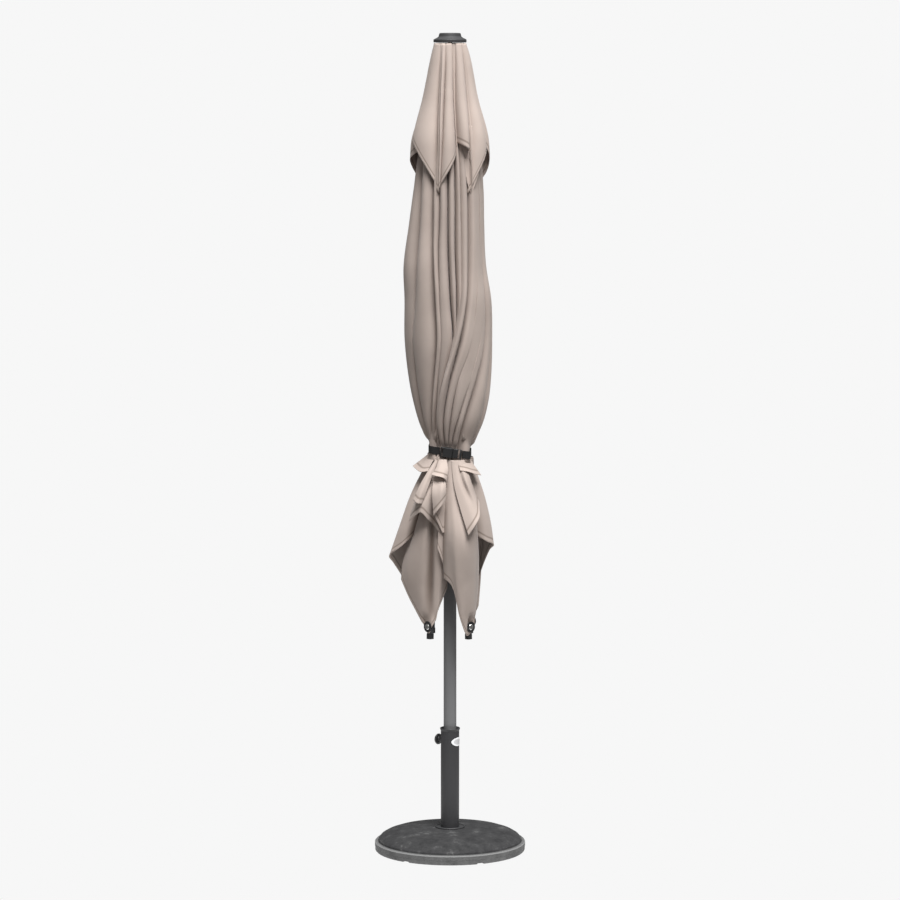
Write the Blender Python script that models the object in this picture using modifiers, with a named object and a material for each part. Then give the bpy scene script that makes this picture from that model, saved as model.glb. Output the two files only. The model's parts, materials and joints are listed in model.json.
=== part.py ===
"""A square centre-pole market parasol, folded and tied, standing in a round concrete base.

Run with: blender --background --python part.py
Units are metres and +Z is up. The origin is on the floor, at the centre of the base.
The four ribs lie on the diagonals of the plan. Each rib carries a quarter of the canopy.
"""

import math

import bmesh
import bpy
from mathutils import Matrix, Vector

COLLECTION_NAME = "market_parasol"
GAP = 0.0003

# concrete base
BASE_RADIUS = 0.225
BASE_RIM_TOP = 0.026
BASE_DOME_TOP = 0.0685
BASE_LIP_WIDTH = 0.010
BASE_DOME_FLAT = 0.050
BASE_DOME_FULLNESS = 2.3
BASE_DOME_STEPS = (0.0, 0.25, 0.45, 0.62, 0.76, 0.87, 0.95, 0.99, 1.0)
BASE_NOTCH_COUNT = 6
BASE_NOTCH_FIRST_DEG = -4.0
BASE_NOTCH_SIZE = (0.05, 0.022, 0.007)
RECESS_RADIUS = 0.045
RECESS_DEPTH = 0.0085

# steel socket tube in the base, and its clamp
SOCKET_OUTER = 0.0275
SOCKET_INNER = 0.0255
SOCKET_TOP = 0.370
SOCKET_LIP = 0.0300
FLANGE_RADIUS = 0.042
FLANGE_THICKNESS = 0.0045
COLLAR_RADIUS = 0.0445
CLAMP_AZIMUTH_DEG = 147.0
CLAMP_Z = 0.331
CLAMP_BOLT_RADIUS = 0.004
CLAMP_BOSS_RADIUS = 0.009
CLAMP_BOSS_END = 0.0355
CLAMP_KNOB_RADIUS = 0.0165
CLAMP_KNOB_END = 0.051
CLAMP_BOLT_INTO_KNOB = 0.010
CLAMP_BORE_DEPTH = 0.0108
KNOB_CLEARANCE = 0.0007
KNOB_NECK_RADIUS = 0.0085
KNOB_FLUTE_COUNT = 7
KNOB_FLUTE_RADIUS = 0.0038
KNOB_FLUTE_OFFSET = 0.0022
PLATE_AZIMUTH_DEG = -30.0
PLATE_WIDTH = 0.048
PLATE_HEIGHT = 0.026
PLATE_THICKNESS = 0.0006

# pole, hub and finial
POLE_RADIUS = 0.019
POLE_WALL = 0.0014
POLE_TOP = 2.372
PLUG_HEIGHT = 0.0035
PLUG_STEM = 0.022
HUB_DISC_RADIUS = 0.042
HUB_DISC_BOTTOM = 2.3905
HUB_TOP = 2.3985
HUB_CORE_RADIUS = 0.0225
CROWN_RADIUS = 0.040
CROWN_THICKNESS = 0.0022
CAP_BRIM_RADIUS = 0.0485
CAP_BOTTOM = 2.402
CAP_TOP = 2.430
LOCK_HOLE_Z = 1.838
LOCK_PIN_RADIUS = 0.003
LOCK_PIN_LENGTH = 0.050

# ribs, struts and runner
RIB_AZIMUTHS_DEG = (135.0, 45.0, -45.0, -135.0)
PIVOT_RADIUS = 0.034
PIVOT_Z = 2.378
PIVOT_PIN_RADIUS = 0.0022
RIB_LENGTH = 1.716
RIB_TIP_RADIUS = 0.080
RIB_WIDTH = 0.014
RIB_DEPTH = 0.016
RIB_WALL = 0.0012
RIB_CORNER = 0.003
RIB_TOP_OVERHANG = 0.008
STRUT_PIVOT_ALONG = 0.750
STRUT_PIVOT_INSET = 0.015
STRUT_WIDTH = 0.009
STRUT_DEPTH = 0.008
STRUT_PIN_RADIUS = 0.002
LUG_THICKNESS = 0.0022
RUNNER_BORE = 0.0197
RUNNER_RADIUS = 0.0235
RUNNER_FLANGE_RADIUS = 0.041
RUNNER_BELOW = 0.028
RUNNER_ABOVE = 0.030
END_CAP_LENGTH = 0.016
END_CAP_DEPTH = 0.0185
END_CAP_WIDTH = 0.0165
END_CAP_CORNER = 0.004
END_CAP_STEM_LENGTH = 0.012
BRACKET_PLATE = 0.0017
BRACKET_HALF_WIDTH = 0.0066
BRACKET_HALF_LENGTH = 0.014
BRACKET_EAR_HALF_LENGTH = 0.009
BRACKET_EAR_BEYOND = 0.0042
BRACKET_SLOT_PLAY = 0.0004
RIVET_PROUD = 0.0006

# corner fixing of the canopy
CORNER_SCREW_ALONG = 1.6955
WASHER_RADIUS = 0.0165
WASHER_THICKNESS = 0.0015
SCREW_HEAD_RADIUS = 0.0085
SCREW_HEAD_HEIGHT = 0.003
SCREW_SHANK_RADIUS = 0.0023

# furled canopy: z, reach towards the wide side, reach towards the narrow side
CANOPY_PROFILE = (
    (2.250, 0.062, 0.060),
    (2.120, 0.092, 0.088),
    (1.970, 0.103, 0.095),
    (1.750, 0.140, 0.105),
    (1.600, 0.134, 0.121),
    (1.450, 0.130, 0.122),
    (1.350, 0.113, 0.116),
    (1.263, 0.090, 0.098),
    (1.225, 0.058, 0.058),
    (1.165, 0.058, 0.058),
    (1.114, 0.112, 0.086),
    (1.054, 0.139, 0.105),
    (0.964, 0.164, 0.121),
    (0.900, 0.174, 0.130),
    (0.840, 0.150, 0.106),
    (0.760, 0.125, 0.098),
    (0.700, 0.100, 0.095),
)
VENT_PROFILE = (
    (2.362, 0.056, 0.056),
    (2.235, 0.083, 0.082),
    (2.120, 0.114, 0.113),
    (1.970, 0.110, 0.108),
)
NARROW_SIDE_DEG = 10.0
CANOPY_THICKNESS = 0.005
VENT_THICKNESS = 0.003
CANOPY_CORNER_BOTTOM = 0.705
CANOPY_SIDE_BOTTOM = 0.860
VENT_CORNER_BOTTOM = 1.970
VENT_SIDE_BOTTOM = 2.115
RIB_WRAP_RADIUS = 0.0108
CLOTH_AT_RIB = 0.002
QUARTER_HALF_DEG = 44.5
LONGEST_ROW = 0.070

# tie strap and its side-release buckle
STRAP_Z = 1.202
STRAP_TILT_DEG = 8.0
STRAP_HEIGHT = 0.022
STRAP_THICKNESS = 0.002
STRAP_CLEARANCE = 0.0008
CORNER_HALF_DEG = 8.0
STRAP_HINGE_X = -0.008
BUCKLE_CENTRE_X = 0.005
BUCKLE_LENGTH = 0.063
BUCKLE_HEIGHT = 0.030
BUCKLE_THICKNESS = 0.0115
BUCKLE_FEMALE_LENGTH = 0.036
BUCKLE_WALL = 0.0026
BUCKLE_JOINT_GAP = 0.0005
BUCKLE_BEVEL = 0.0022
WEBBING_SLOT_HALF = 0.0127
WINDOW_FROM_MOUTH = (0.0170, 0.0080)
FEMALE_SLOT_IN = (0.0035, 0.0075)
MALE_SLOT_IN = (0.0105, 0.0055)
TONGUE_HALF = 0.0028
TONGUE_ROOT = 0.004
PRONG_HALF_SPACING = 0.00875
PRONG_ROOT_IN = 0.003
PRONG_RELIEF = (0.0062, 0.0116)
CUT_PAST = 0.010
PRONG_LENGTH = 0.020
PRONG_THICKNESS = 0.003

ROUND_SEGMENTS = 36
SMALL_SEGMENTS = 14


def clear_scene():
    for obj in list(bpy.data.objects):
        bpy.data.objects.remove(obj, do_unlink=True)


def new_collection(name, parent):
    collection = bpy.data.collections.new(name)
    parent.children.link(collection)
    return collection


clear_scene()
PARTS = new_collection(COLLECTION_NAME, bpy.context.scene.collection)
CUTTERS = new_collection("cutters", bpy.context.scene.collection)


def make_material(name, colour, roughness, metallic):
    material = bpy.data.materials.new(name)
    material.use_nodes = True
    shader = material.node_tree.nodes["Principled BSDF"]
    shader.inputs["Base Color"].default_value = (*colour, 1.0)
    shader.inputs["Roughness"].default_value = roughness
    shader.inputs["Metallic"].default_value = metallic
    return material


CONCRETE = make_material("concrete", (0.075, 0.075, 0.078), 0.85, 0.0)
SOCKET_PAINT = make_material("socket_paint", (0.045, 0.046, 0.048), 0.55, 0.2)
POLE_PAINT = make_material("pole_paint", (0.155, 0.157, 0.162), 0.45, 0.3)
RIB_PAINT = make_material("rib_paint", (0.09, 0.09, 0.095), 0.5, 0.3)
BLACK_PLASTIC = make_material("black_plastic", (0.02, 0.02, 0.021), 0.5, 0.0)
CAP_PLASTIC = make_material("cap_plastic", (0.055, 0.058, 0.063), 0.45, 0.0)
BRIGHT_STEEL = make_material("bright_steel", (0.62, 0.62, 0.6), 0.3, 1.0)
PLATE_WHITE = make_material("plate_white", (0.72, 0.73, 0.74), 0.35, 0.0)
CANOPY_FABRIC = make_material("canopy_fabric", (0.42, 0.35, 0.31), 0.9, 0.0)
STRAP_WEBBING = make_material("strap_webbing", (0.015, 0.015, 0.016), 0.85, 0.0)


def add_object(name, mesh, material):
    obj = bpy.data.objects.new(name, mesh)
    PARTS.objects.link(obj)
    mesh.materials.clear()
    mesh.materials.append(material)
    mesh.shade_smooth()
    mesh.set_sharp_from_angle(angle=math.radians(35))
    return obj


def add_pivot(name, matrix):
    """An empty on a joint's axis, which the moving pieces are parented to."""
    empty = bpy.data.objects.new(name, None)
    PARTS.objects.link(empty)
    empty.matrix_world = matrix
    return empty


def attach(obj, pivot, local=Matrix.Identity(4)):
    obj.parent = pivot
    obj.matrix_parent_inverse = Matrix.Identity(4)
    obj.matrix_local = local
    return obj


def attach_in_place(obj, pivot):
    """Parents obj to pivot and leaves it where it is in the world."""
    obj.parent = pivot
    obj.matrix_parent_inverse = pivot.matrix_world.inverted()
    return obj


def turned_mesh(profile, segments=ROUND_SEGMENTS, closed=False):
    """A solid of revolution about Z. The profile runs down the outer side; a closed one comes
    back up the bore, and an open one starts and ends on the axis."""
    mesh = bpy.data.meshes.new("profile")
    count = len(profile)
    edges = [(i, i + 1) for i in range(count - 1)]
    if closed:
        edges.append((count - 1, 0))
    mesh.from_pydata([(r, 0.0, z) for r, z in profile], edges, [])
    holder = bpy.data.objects.new("profile", mesh)
    CUTTERS.objects.link(holder)
    screw = holder.modifiers.new("turn", "SCREW")
    screw.steps = segments
    screw.render_steps = segments
    screw.use_merge_vertices = True
    screw.merge_threshold = 0.00001
    return baked_mesh(holder)


def baked_mesh(holder):
    """The evaluated mesh of a helper object, welded, after which the helper is removed."""
    bpy.context.view_layer.update()
    evaluated = holder.evaluated_get(bpy.context.evaluated_depsgraph_get())
    mesh = bpy.data.meshes.new_from_object(evaluated)
    bpy.data.objects.remove(holder, do_unlink=True)
    weld(mesh)
    return mesh


def weld(mesh):
    work = bmesh.new()
    work.from_mesh(mesh)
    bmesh.ops.remove_doubles(work, verts=work.verts, dist=0.00001)
    bmesh.ops.recalc_face_normals(work, faces=work.faces)
    work.to_mesh(mesh)
    work.free()


def arc(centre, radius, start_deg, end_deg, steps):
    angles = [start_deg + (end_deg - start_deg) * i / steps for i in range(steps + 1)]
    return [
        (
            centre[0] + radius * math.cos(math.radians(a)),
            centre[1] + radius * math.sin(math.radians(a)),
        )
        for a in angles
    ]


def rounded_rectangle(width, height, corner, steps=3):
    x, y = width / 2 - corner, height / 2 - corner
    points = []
    for cx, cy, start in ((x, y, 0), (-x, y, 90), (-x, -y, 180), (x, -y, 270)):
        points += arc((cx, cy), corner, start, start + 90, steps)
    return points


def extruded_mesh(outlines, depth):
    """Flat outlines in XY, the later ones holes in the first, extruded evenly about Z = 0."""
    curve = bpy.data.curves.new("outline", "CURVE")
    curve.dimensions = "2D"
    curve.fill_mode = "BOTH"
    curve.extrude = depth / 2
    for outline in outlines:
        spline = curve.splines.new("POLY")
        spline.points.add(len(outline) - 1)
        for point, (x, y) in zip(spline.points, outline):
            point.co = (x, y, 0.0, 1.0)
        spline.use_cyclic_u = True
    holder = bpy.data.objects.new("outline", curve)
    CUTTERS.objects.link(holder)
    return baked_mesh(holder)


def cylinder_between(start, end, radius, segments=SMALL_SEGMENTS):
    start, end = Vector(start), Vector(end)
    axis = end - start
    work = bmesh.new()
    bmesh.ops.create_cone(
        work,
        cap_ends=True,
        segments=segments,
        radius1=radius,
        radius2=radius,
        depth=axis.length,
    )
    turn = axis.to_track_quat("Z", "Y").to_matrix().to_4x4()
    bmesh.ops.transform(work, matrix=Matrix.Translation((start + end) / 2) @ turn, verts=work.verts)
    mesh = bpy.data.meshes.new("cylinder")
    work.to_mesh(mesh)
    work.free()
    return mesh


def box_mesh(low, high, bevel=0.0):
    low, high = Vector(low), Vector(high)
    work = bmesh.new()
    bmesh.ops.create_cube(work, size=1.0)
    bmesh.ops.scale(work, vec=high - low, verts=work.verts)
    bmesh.ops.translate(work, vec=(low + high) / 2, verts=work.verts)
    if bevel:
        bmesh.ops.bevel(
            work, geom=list(work.edges), offset=bevel, segments=2, profile=0.5, affect="EDGES"
        )
    mesh = bpy.data.meshes.new("box")
    work.to_mesh(mesh)
    work.free()
    return mesh


def combine(obj, tools, operation):
    """Applies EXACT booleans of the tool meshes, given in obj's own frame, and bakes the result."""
    for tool in tools:
        cutter = bpy.data.objects.new("tool", tool)
        CUTTERS.objects.link(cutter)
        cutter.hide_render = True
        cutter.display_type = "WIRE"
        holder = bpy.data.objects.new("work", obj.data)
        CUTTERS.objects.link(holder)
        boolean = holder.modifiers.new("boolean", "BOOLEAN")
        boolean.operation = operation
        boolean.solver = "EXACT"
        boolean.object = cutter
        mesh = baked_mesh(holder)
        bpy.data.objects.remove(cutter, do_unlink=True)
        material = obj.data.materials[0]
        obj.data = mesh
        mesh.materials.clear()
        mesh.materials.append(material)
        mesh.shade_smooth()
        mesh.set_sharp_from_angle(angle=math.radians(35))
    return obj


def cut(obj, tools):
    return combine(obj, tools, "DIFFERENCE")


def join(obj, tools):
    return combine(obj, tools, "UNION")


def about_z(azimuth_deg):
    return Matrix.Rotation(math.radians(azimuth_deg), 4, "Z")


def transformed(mesh, matrix):
    mesh.transform(matrix)
    return mesh


# ---------------------------------------------------------------- base and socket


def base_profile():
    """The concrete casting: a bore for the socket tube, a low dome, a raised lip and the rim."""
    bore = SOCKET_OUTER + GAP
    dome_end = BASE_RADIUS - BASE_LIP_WIDTH
    rise = BASE_DOME_TOP - BASE_RIM_TOP
    dome = []
    for share in BASE_DOME_STEPS:
        radius = BASE_DOME_FLAT + (dome_end - BASE_DOME_FLAT) * share
        height = BASE_RIM_TOP + rise * (1 - share**BASE_DOME_FULLNESS) ** (1 / BASE_DOME_FULLNESS)
        dome.append((radius, height))
    return [
        (bore, BASE_DOME_TOP),
        *dome,
        (BASE_RADIUS - 0.0085, BASE_RIM_TOP + 0.0025),
        (BASE_RADIUS - 0.0030, BASE_RIM_TOP + 0.0025),
        (BASE_RADIUS, BASE_RIM_TOP - 0.0005),
        (BASE_RADIUS, 0.0150),
        (BASE_RADIUS - 0.0008, 0.0140),
        (BASE_RADIUS - 0.0012, 0.0030),
        (BASE_RADIUS - 0.0040, 0.0000),
        (RECESS_RADIUS, 0.0000),
        (RECESS_RADIUS, RECESS_DEPTH),
        (bore, RECESS_DEPTH),
    ]


def build_base():
    mesh = turned_mesh(base_profile(), segments=60, closed=True)
    base = add_object("base_disc", mesh, CONCRETE)
    length, width, height = BASE_NOTCH_SIZE
    notch_box = (
        (BASE_RADIUS - length / 2, -width / 2, -height / 2),
        (BASE_RADIUS + length / 2, width / 2, height / 2),
    )
    notches = []
    for i in range(BASE_NOTCH_COUNT):
        azimuth = BASE_NOTCH_FIRST_DEG + 360.0 / BASE_NOTCH_COUNT * i
        notches.append(transformed(box_mesh(*notch_box), about_z(azimuth)))
    cut(base, notches)


def build_socket():
    bottom = RECESS_DEPTH - 0.0005
    mouth = SOCKET_TOP
    profile = [
        (SOCKET_LIP - 0.0012, mouth),
        (SOCKET_LIP, mouth - 0.0012),
        (SOCKET_LIP - 0.0004, mouth - 0.0035),
        (SOCKET_OUTER, mouth - 0.0085),
        (SOCKET_OUTER, bottom),
        (SOCKET_INNER, bottom),
        (SOCKET_INNER, mouth - 0.0085),
        (SOCKET_LIP - 0.0024, mouth - 0.0020),
    ]
    socket = add_object("socket_tube", turned_mesh(profile, closed=True), SOCKET_PAINT)
    hole = cylinder_between((0.02, 0, CLAMP_Z), (0.04, 0, CLAMP_Z), CLAMP_BOLT_RADIUS + 0.0006)
    cut(socket, [transformed(hole, about_z(CLAMP_AZIMUTH_DEG))])

    top = bottom - GAP
    low = top - FLANGE_THICKNESS
    flange = [
        (0.0, top),
        (FLANGE_RADIUS - 0.001, top),
        (FLANGE_RADIUS, top - 0.001),
        (FLANGE_RADIUS, low),
        (0.0, low),
    ]
    add_object("socket_flange", turned_mesh(flange), SOCKET_PAINT)

    bore = SOCKET_OUTER + GAP
    seat = BASE_DOME_TOP + GAP
    collar = [
        (bore, seat + 0.0016),
        (COLLAR_RADIUS - 0.0045, seat + 0.0016),
        (COLLAR_RADIUS - 0.0030, seat + 0.0038),
        (COLLAR_RADIUS - 0.0010, seat + 0.0038),
        (COLLAR_RADIUS, seat + 0.0026),
        (COLLAR_RADIUS, seat),
        (bore, seat),
    ]
    add_object("foot_collar", turned_mesh(collar, closed=True), SOCKET_PAINT)


def build_clamp():
    """The welded boss stays on the socket; the bolt and its knob screw in and out along X."""
    frame = about_z(CLAMP_AZIMUTH_DEG) @ Matrix.Translation((0, 0, CLAMP_Z))
    boss_mesh = cylinder_between((0.024, 0, 0), (CLAMP_BOSS_END, 0, 0), CLAMP_BOSS_RADIUS)
    boss = add_object("clamp_boss", boss_mesh, SOCKET_PAINT)
    saddle = cylinder_between((0, 0, -0.03), (0, 0, 0.03), SOCKET_OUTER + GAP, ROUND_SEGMENTS)
    bolt_way = cylinder_between((0, 0, 0), (0.06, 0, 0), CLAMP_BOLT_RADIUS + GAP)
    cut(boss, [saddle, bolt_way])
    boss.matrix_world = frame

    pivot = add_pivot("clamp_axis", frame)
    tip = POLE_RADIUS + GAP
    bolt_end = CLAMP_BOSS_END + CLAMP_BOLT_INTO_KNOB
    bolt = cylinder_between((tip, 0, 0), (bolt_end, 0, 0), CLAMP_BOLT_RADIUS)
    attach(add_object("clamp_bolt", bolt, BRIGHT_STEEL), pivot)

    knob_start = CLAMP_BOSS_END + KNOB_CLEARANCE
    bore = CLAMP_BOLT_RADIUS + GAP
    bore_end = CLAMP_BOSS_END + CLAMP_BORE_DEPTH
    end = CLAMP_KNOB_END
    radius = CLAMP_KNOB_RADIUS
    profile = [
        (0.0, end),
        (radius * 0.45, end - 0.0008),
        (radius * 0.80, end - 0.0035),
        (radius * 0.96, end - 0.0065),
        (radius, end - 0.0095),
        (radius * 0.97, end - 0.0112),
        (KNOB_NECK_RADIUS + 0.001, end - 0.0125),
        (KNOB_NECK_RADIUS, knob_start),
        (bore, knob_start),
        (bore, bore_end),
        (0.0, bore_end),
    ]
    knob = add_object("clamp_knob", turned_mesh(profile), BLACK_PLASTIC)
    flutes = []
    out = radius + KNOB_FLUTE_OFFSET
    for i in range(KNOB_FLUTE_COUNT):
        flute = cylinder_between(
            (out, 0, CLAMP_BOSS_END - CUT_PAST), (out, 0, end + CUT_PAST), KNOB_FLUTE_RADIUS
        )
        flutes.append(transformed(flute, about_z(360.0 / KNOB_FLUTE_COUNT * i)))
    cut(knob, flutes)
    knob.data.transform(Matrix.Rotation(math.radians(90), 4, "Y"))
    attach(knob, pivot)


def build_plate():
    """A blank oval plate, bent round the socket tube."""
    inner = SOCKET_OUTER + GAP
    outer = inner + PLATE_THICKNESS
    half = PLATE_HEIGHT
    ring = turned_mesh(
        [(outer, half), (outer, -half), (inner, -half), (inner, half)], segments=96, closed=True
    )
    plate = add_object("blank_plate", ring, PLATE_WHITE)
    half_angle = PLATE_WIDTH / 2 / outer
    oval = cylinder_between((0.005, 0, 0), (0.05, 0, 0), 1.0, 32)
    stretch = Matrix.Diagonal((1.0, outer * math.sin(half_angle), PLATE_HEIGHT / 2, 1.0))
    combine(plate, [transformed(oval, stretch)], "INTERSECT")
    plate.matrix_world = about_z(PLATE_AZIMUTH_DEG) @ Matrix.Translation((0, 0, CLAMP_Z - 0.001))


# ---------------------------------------------------------------- pole, hub and finial


def build_pole():
    flange_top = RECESS_DEPTH - 0.0005 - GAP
    plug_bottom = flange_top + GAP
    plug_top = plug_bottom + PLUG_HEIGHT
    bore = POLE_RADIUS - POLE_WALL
    plug = [
        (0.0, plug_top + PLUG_STEM),
        (bore - 0.0022, plug_top + PLUG_STEM),
        (bore - 0.0006, plug_top + PLUG_STEM - 0.003),
        (bore - 0.0006, plug_top),
        (POLE_RADIUS, plug_top),
        (POLE_RADIUS, plug_bottom + 0.001),
        (POLE_RADIUS - 0.001, plug_bottom),
        (0.0, plug_bottom),
    ]
    add_object("pole_foot_plug", turned_mesh(plug), BLACK_PLASTIC)

    bottom = plug_top + GAP
    tube = [(POLE_RADIUS, POLE_TOP), (POLE_RADIUS, bottom), (bore, bottom), (bore, POLE_TOP)]
    pole = add_object("pole_tube", turned_mesh(tube, closed=True), POLE_PAINT)
    lock_hole = cylinder_between(
        (0, -0.04, LOCK_HOLE_Z), (0, 0.04, LOCK_HOLE_Z), LOCK_PIN_RADIUS + 0.0005
    )
    cut(pole, [lock_hole])


def lug_pair(slot_half, radial, vertical):
    """Two upright ears either side of a slot, in the plane of a rib on the +X side."""
    ears = []
    for side in (-1, 1):
        inner, outer = side * slot_half, side * (slot_half + LUG_THICKNESS + 0.0006)
        low = (radial[0], min(inner, outer), vertical[0])
        high = (radial[1], max(inner, outer), vertical[1])
        ears.append(box_mesh(low, high))
    return ears


def build_hub():
    stem = POLE_RADIUS - POLE_WALL - 0.0006
    profile = [
        (0.0065, HUB_TOP),
        (HUB_DISC_RADIUS - 0.0015, HUB_TOP),
        (HUB_DISC_RADIUS, HUB_TOP - 0.0015),
        (HUB_DISC_RADIUS, HUB_DISC_BOTTOM),
        (HUB_CORE_RADIUS, HUB_DISC_BOTTOM),
        (HUB_CORE_RADIUS, POLE_TOP + GAP),
        (stem, POLE_TOP + GAP),
        (stem, POLE_TOP - 0.040),
        (0.0065, POLE_TOP - 0.040),
    ]
    hub = add_object("top_hub", turned_mesh(profile, closed=True), BLACK_PLASTIC)
    slot_half = RIB_WIDTH / 2 + 0.0004
    ears = []
    pin_ways = []
    for azimuth in RIB_AZIMUTHS_DEG:
        for ear in lug_pair(slot_half, (0.0205, 0.0405), (PIVOT_Z - 0.009, HUB_DISC_BOTTOM + 0.002)):
            ears.append(transformed(ear, about_z(azimuth)))
        way = cylinder_between(
            (PIVOT_RADIUS, -0.02, PIVOT_Z), (PIVOT_RADIUS, 0.02, PIVOT_Z), PIVOT_PIN_RADIUS + GAP
        )
        pin_ways.append(transformed(way, about_z(azimuth)))
    join(hub, ears)
    cut(hub, pin_ways)

    reach = slot_half + LUG_THICKNESS + 0.0010
    for index, azimuth in enumerate(RIB_AZIMUTHS_DEG, start=1):
        pin = cylinder_between((0, -reach, 0), (0, reach, 0), PIVOT_PIN_RADIUS)
        hub_pin = add_object(f"hub_pin_{index}", pin, BRIGHT_STEEL)
        hub_pin.matrix_world = about_z(azimuth) @ Matrix.Translation((PIVOT_RADIUS, 0, PIVOT_Z))


def build_finial():
    crown_low = HUB_TOP + GAP
    crown_high = crown_low + CROWN_THICKNESS
    stem = 0.006
    crown = [
        (stem + GAP, crown_high),
        (CROWN_RADIUS, crown_high),
        (CROWN_RADIUS, crown_low),
        (stem + GAP, crown_low),
    ]
    add_object("canopy_crown", turned_mesh(crown, closed=True), CANOPY_FABRIC)

    brim = CAP_BRIM_RADIUS
    cap = [
        (0.0, CAP_TOP - 0.0022),
        (0.015, CAP_TOP - 0.0020),
        (0.020, CAP_TOP),
        (0.029, CAP_TOP - 0.0004),
        (0.0315, CAP_TOP - 0.0024),
        (0.0335, CAP_TOP - 0.0105),
        (0.038, CAP_TOP - 0.0140),
        (brim - 0.0015, CAP_TOP - 0.0185),
        (brim, CAP_TOP - 0.0200),
        (brim, CAP_BOTTOM + 0.0012),
        (brim - 0.0012, CAP_BOTTOM),
        (stem, CAP_BOTTOM),
        (stem, HUB_TOP - 0.030),
        (0.0, HUB_TOP - 0.030),
    ]
    add_object("finial_cap", turned_mesh(cap, segments=40), CAP_PLASTIC)


# ---------------------------------------------------------------- ribs, struts and runner


def rib_frame(azimuth_deg):
    """Origin on the rib's hub pin, -Z along the rib to its tip, +X away from the pole."""
    splay = math.asin((RIB_TIP_RADIUS - PIVOT_RADIUS) / RIB_LENGTH)
    return (
        about_z(azimuth_deg)
        @ Matrix.Translation((PIVOT_RADIUS, 0, PIVOT_Z))
        @ Matrix.Rotation(-splay, 4, "Y")
    )


def strut_pivot(azimuth_deg):
    return rib_frame(azimuth_deg) @ Vector((-STRUT_PIVOT_INSET, 0, -STRUT_PIVOT_ALONG))


def runner_z():
    """The strut mirrors the line from hub pin to strut pin, so the runner pin is twice as far down."""
    return 2 * strut_pivot(0.0).z - PIVOT_Z


def strut_frame(azimuth_deg):
    """Origin on the bracket pin, +Z from the runner pin up to the bracket pin."""
    reach = strut_pivot(0.0)
    lean = math.atan2(reach.x - PIVOT_RADIUS, reach.z - runner_z())
    return (
        about_z(azimuth_deg)
        @ Matrix.Translation((reach.x, 0, reach.z))
        @ Matrix.Rotation(lean, 4, "Y")
    )


def rib_mesh():
    outer = rounded_rectangle(RIB_DEPTH, RIB_WIDTH, RIB_CORNER)
    inner = rounded_rectangle(
        RIB_DEPTH - 2 * RIB_WALL, RIB_WIDTH - 2 * RIB_WALL, RIB_CORNER - RIB_WALL
    )
    length = RIB_LENGTH + RIB_TOP_OVERHANG
    mesh = extruded_mesh([outer, inner], length)
    return transformed(mesh, Matrix.Translation((0, 0, RIB_TOP_OVERHANG - length / 2)))


def build_rib(index, pivot):
    rib = add_object(f"rib_{index}", rib_mesh(), RIB_PAINT)
    pin_way = cylinder_between((0, -0.02, 0), (0, 0.02, 0), PIVOT_PIN_RADIUS + GAP)
    screw_way = cylinder_between(
        (0, 0, -CORNER_SCREW_ALONG), (0.02, 0, -CORNER_SCREW_ALONG), SCREW_SHANK_RADIUS + GAP
    )
    cut(rib, [pin_way, screw_way])
    attach(rib, pivot)


def build_end_cap(index, pivot):
    clearance = RIB_WALL + GAP
    block = transformed(
        extruded_mesh(
            [rounded_rectangle(END_CAP_DEPTH, END_CAP_WIDTH, END_CAP_CORNER)], END_CAP_LENGTH
        ),
        Matrix.Translation((0, 0, -RIB_LENGTH - GAP - END_CAP_LENGTH / 2)),
    )
    stem_outline = rounded_rectangle(
        RIB_DEPTH - 2 * clearance, RIB_WIDTH - 2 * clearance, RIB_CORNER - RIB_WALL
    )
    stem = transformed(
        extruded_mesh([stem_outline], END_CAP_STEM_LENGTH),
        Matrix.Translation((0, 0, -RIB_LENGTH + 0.0045)),
    )
    cap = add_object(f"rib_end_cap_{index}", block, BLACK_PLASTIC)
    join(cap, [stem])
    attach(cap, pivot)


def build_bracket(index, pivot):
    """A clevis under the rib with its rivet, which the strut's upper eye turns on."""
    face = -RIB_DEPTH / 2 - GAP
    along = -STRUT_PIVOT_ALONG
    plate_back = face - BRACKET_PLATE
    plate = box_mesh(
        (plate_back, -BRACKET_HALF_WIDTH, along - BRACKET_HALF_LENGTH),
        (face, BRACKET_HALF_WIDTH, along + BRACKET_HALF_LENGTH),
    )
    slot_half = STRUT_WIDTH / 2 + BRACKET_SLOT_PLAY
    ear_reach = -STRUT_PIVOT_INSET - BRACKET_EAR_BEYOND
    ears = []
    for side in (-1, 1):
        inner, outer = side * slot_half, side * (slot_half + LUG_THICKNESS)
        low = (ear_reach, min(inner, outer), along - BRACKET_EAR_HALF_LENGTH)
        high = (plate_back + 0.001, max(inner, outer), along + BRACKET_EAR_HALF_LENGTH)
        ears.append(box_mesh(low, high))
    reach = slot_half + LUG_THICKNESS + RIVET_PROUD
    rivet = cylinder_between(
        (-STRUT_PIVOT_INSET, -reach, along), (-STRUT_PIVOT_INSET, reach, along), STRUT_PIN_RADIUS
    )
    bracket = add_object(f"rib_bracket_{index}", plate, BLACK_PLASTIC)
    join(bracket, [*ears, rivet])
    attach(bracket, pivot)


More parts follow.
